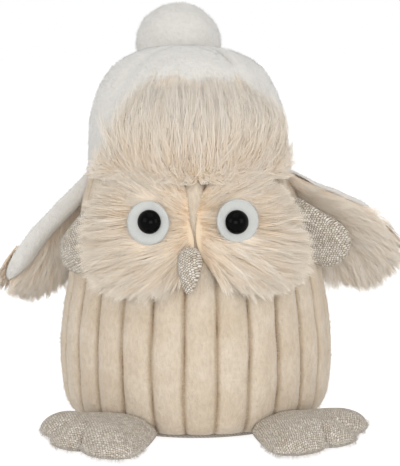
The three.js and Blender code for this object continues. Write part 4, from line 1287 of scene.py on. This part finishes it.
def along_cloth(points, pattern, segments):
    """The pattern of a pad drawn out to the length of its surface, on the back and on the front."""
    way = unit(pattern[1:-1]).reshape(2, -1, segments, 2)
    back, front = points[1:-1].reshape(2, -1, segments, 3)
    reaches = []
    for layer, middle in ((back, points[0]), (front[::-1], points[-1])):
        start = np.broadcast_to(middle, (1, segments, 3))
        steps = np.linalg.norm(np.diff(np.concatenate([start, layer]), axis=0), axis=2)
        reaches.append(steps.cumsum(0)[..., None])
    reaches[1] = reaches[1][::-1]
    flat = (way * np.stack(reaches)).reshape(-1, 2)
    return np.concatenate([np.zeros((1, 2)), flat, np.zeros((1, 2))])


def make_foot(name, sign):
    side = FEET[sign]
    ahead = heading(sign * math.radians(side["turn"]))
    across = np.array([-ahead[1], ahead[0], 0])
    middle = heading(sign * math.radians(side["angle"])) * (BASE_RADIUS + FOOT_OUT)

    def cleft(angle):
        """How deep it is between two toes: 0 on a toe, 1 in a cleft, and 0 behind the toes."""
        off_ahead = np.abs(np.degrees(angle) - 90)
        dip = 1 - np.abs(np.cos(math.pi * off_ahead / TOE_SPREAD)) ** 0.7
        return dip * (off_ahead < TOE_SPREAD)

    def outline(angle):
        front = superellipse(FOOT_HALF, FOOT_FRONT, 2.2, angle)
        behind = superellipse(FOOT_HALF, FOOT_BACK, 1.15, angle)
        a, b = np.where(angle < math.pi, front, behind)
        scale = 1 - CLEFT_DEPTH * cleft(angle) / np.hypot(a, b)
        return a * scale, b * scale

    def place(a, b, height):
        a, b, height = np.broadcast_arrays(a, b, height)
        flat = middle + across * a[..., None] + ahead * b[..., None]
        flat[..., 2] = height
        return flat

    def front(share, angle):
        sloped = 1 - 0.3 * share * np.maximum(np.sin(angle), 0)
        thick = FOOT_THICKNESS * rounded(share, 2.4) * sloped
        return FOOT_EDGE + thick * (1 - 0.5 * cleft(angle) * smooth(share, 0.4, 0.95))

    def back(share, angle):
        return FOOT_SOLE + 3.2 * share**6

    points, faces, pattern = pad(outline, place, front, back, FOOT_SEGMENTS, 26)
    cloth = along_cloth(points, pattern, FOOT_SEGMENTS)
    # behind, the foot is pressed flat against the body
    radius = np.hypot(points[:, 0], points[:, 1])
    spoke = points / np.maximum(radius, 1)[:, None] * [1, 1, 0]
    least = crest_radius(points[:, 2]) + 0.3
    points = points + spoke * np.maximum(least - radius, 0)[:, None]
    swell = lumps(points, FOOT_LUMPS) * smooth(points[:, 2], 3, 8)
    points = points + [0, 0, 1] * swell[:, None]
    stuffed_limb(f"{name}_foot", points, faces, cloth, 0.7)

    def at_seam(middles, normals):
        ahead_of_heel = (middles - middle) @ ahead > -20
        return (middles[:, 2] > 2.5) & (middles[:, 2] < 6.5) & ahead_of_heel

    body = f"{name}_foot"
    pile_piece(f"{body}_yarn_ends", points, faces, at_seam, 1500, LOOSE_YARN, body, 130 + sign)


# The hidden rigid pieces keep their solids, with materials of their own


def dress_hidden():
    washer, thread = washer_material(), thread_material()
    hidden = {"left_eye_washer": washer, "right_eye_washer": washer, "pompom_knot": thread}
    for node, material in hidden.items():
        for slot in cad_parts[node].material_slots:
            slot.material = material


# Light, floor and camera


def aimed(obj, place, aim):
    obj.location = Vector(place) * MM
    obj.rotation_euler = (Vector(aim) - Vector(place)).to_track_quat("-Z", "Y").to_euler()
    bpy.context.scene.collection.objects.link(obj)
    return obj


def make_lamp(name, place, size, watts):
    lamp = bpy.data.lights.new(name, "AREA")
    lamp.size = size * MM
    lamp.energy = watts
    aimed(bpy.data.objects.new(name, lamp), place, LAMP_AIM)


def seen_rays(tree):
    """1 for what the camera, a reflection or glass sees, and 0 for what lights the object."""
    rays = add_node(tree, "ShaderNodeLightPath").outputs
    seen = maths(tree, "MAXIMUM", rays["Is Camera Ray"], rays["Is Glossy Ray"])
    return maths(tree, "MAXIMUM", seen, rays["Is Transmission Ray"])


def make_sky():
    world = bpy.data.worlds.new("world")
    bpy.context.scene.world = world
    world.use_nodes = True
    tree = world.node_tree
    settings = {"data_type": "FLOAT"}
    strength = add_node(
        tree, "ShaderNodeMix", settings, _0=seen_rays(tree), _2=SKY_LIGHT, _3=1.0
    ).outputs[0]
    tree.links.new(strength, tree.nodes["Background"].inputs["Strength"])
    tree.nodes["Background"].inputs["Color"].default_value = (1, 1, 1, 1)


def make_floor():
    corners = [(-1, -1), (1, -1), (1, 1), (-1, 1)]
    points = np.array([(x * FLOOR_HALF, y * FLOOR_HALF, FLOOR_Z) for x, y in corners])
    mesh, _ = new_mesh("floor", points, [np.array([[0, 1, 2, 3]])])
    floor = bpy.data.objects.new("floor", mesh)
    bpy.context.scene.collection.objects.link(floor)
    material = bpy.data.materials.new("floor")
    material.use_nodes = True
    tree = material.node_tree
    strength = plus(tree, times(tree, seen_rays(tree), SEEN_GLOW), FLOOR_GLOW)
    glow = add_node(tree, "ShaderNodeEmission", Color=(1, 1, 1, 1), Strength=strength)
    cloth = add_node(tree, "ShaderNodeBsdfDiffuse", Color=FLOOR_COLOUR)
    both = add_node(tree, "ShaderNodeAddShader", _0=glow.outputs[0], _1=cloth.outputs[0])
    tree.links.new(both.outputs[0], tree.nodes["Material Output"].inputs["Surface"])
    mesh.materials.append(material)


def make_camera():
    camera = bpy.data.cameras.new("camera")
    camera.lens = CAMERA_LENS
    camera.clip_end = CAMERA_REACH
    made = bpy.data.objects.new("camera", camera)
    bpy.context.scene.camera = aimed(made, CAMERA_PLACE, CAMERA_AIM)
    bpy.context.scene.view_settings.view_transform = "Standard"


make_body()
make_base()
for side_name, side_sign in (("left", 1), ("right", -1)):
    for make in (make_face, make_eye, make_flap, make_flap_hair, make_wing, make_foot):
        make(side_name, side_sign)
make_beak()
make_crown()
make_brim()
make_pompom()
dress_hidden()
for lamp_name, (lamp_place, lamp_size, lamp_watts) in LAMPS.items():
    make_lamp(lamp_name, lamp_place, lamp_size, lamp_watts)
make_sky()
make_floor()
make_camera()
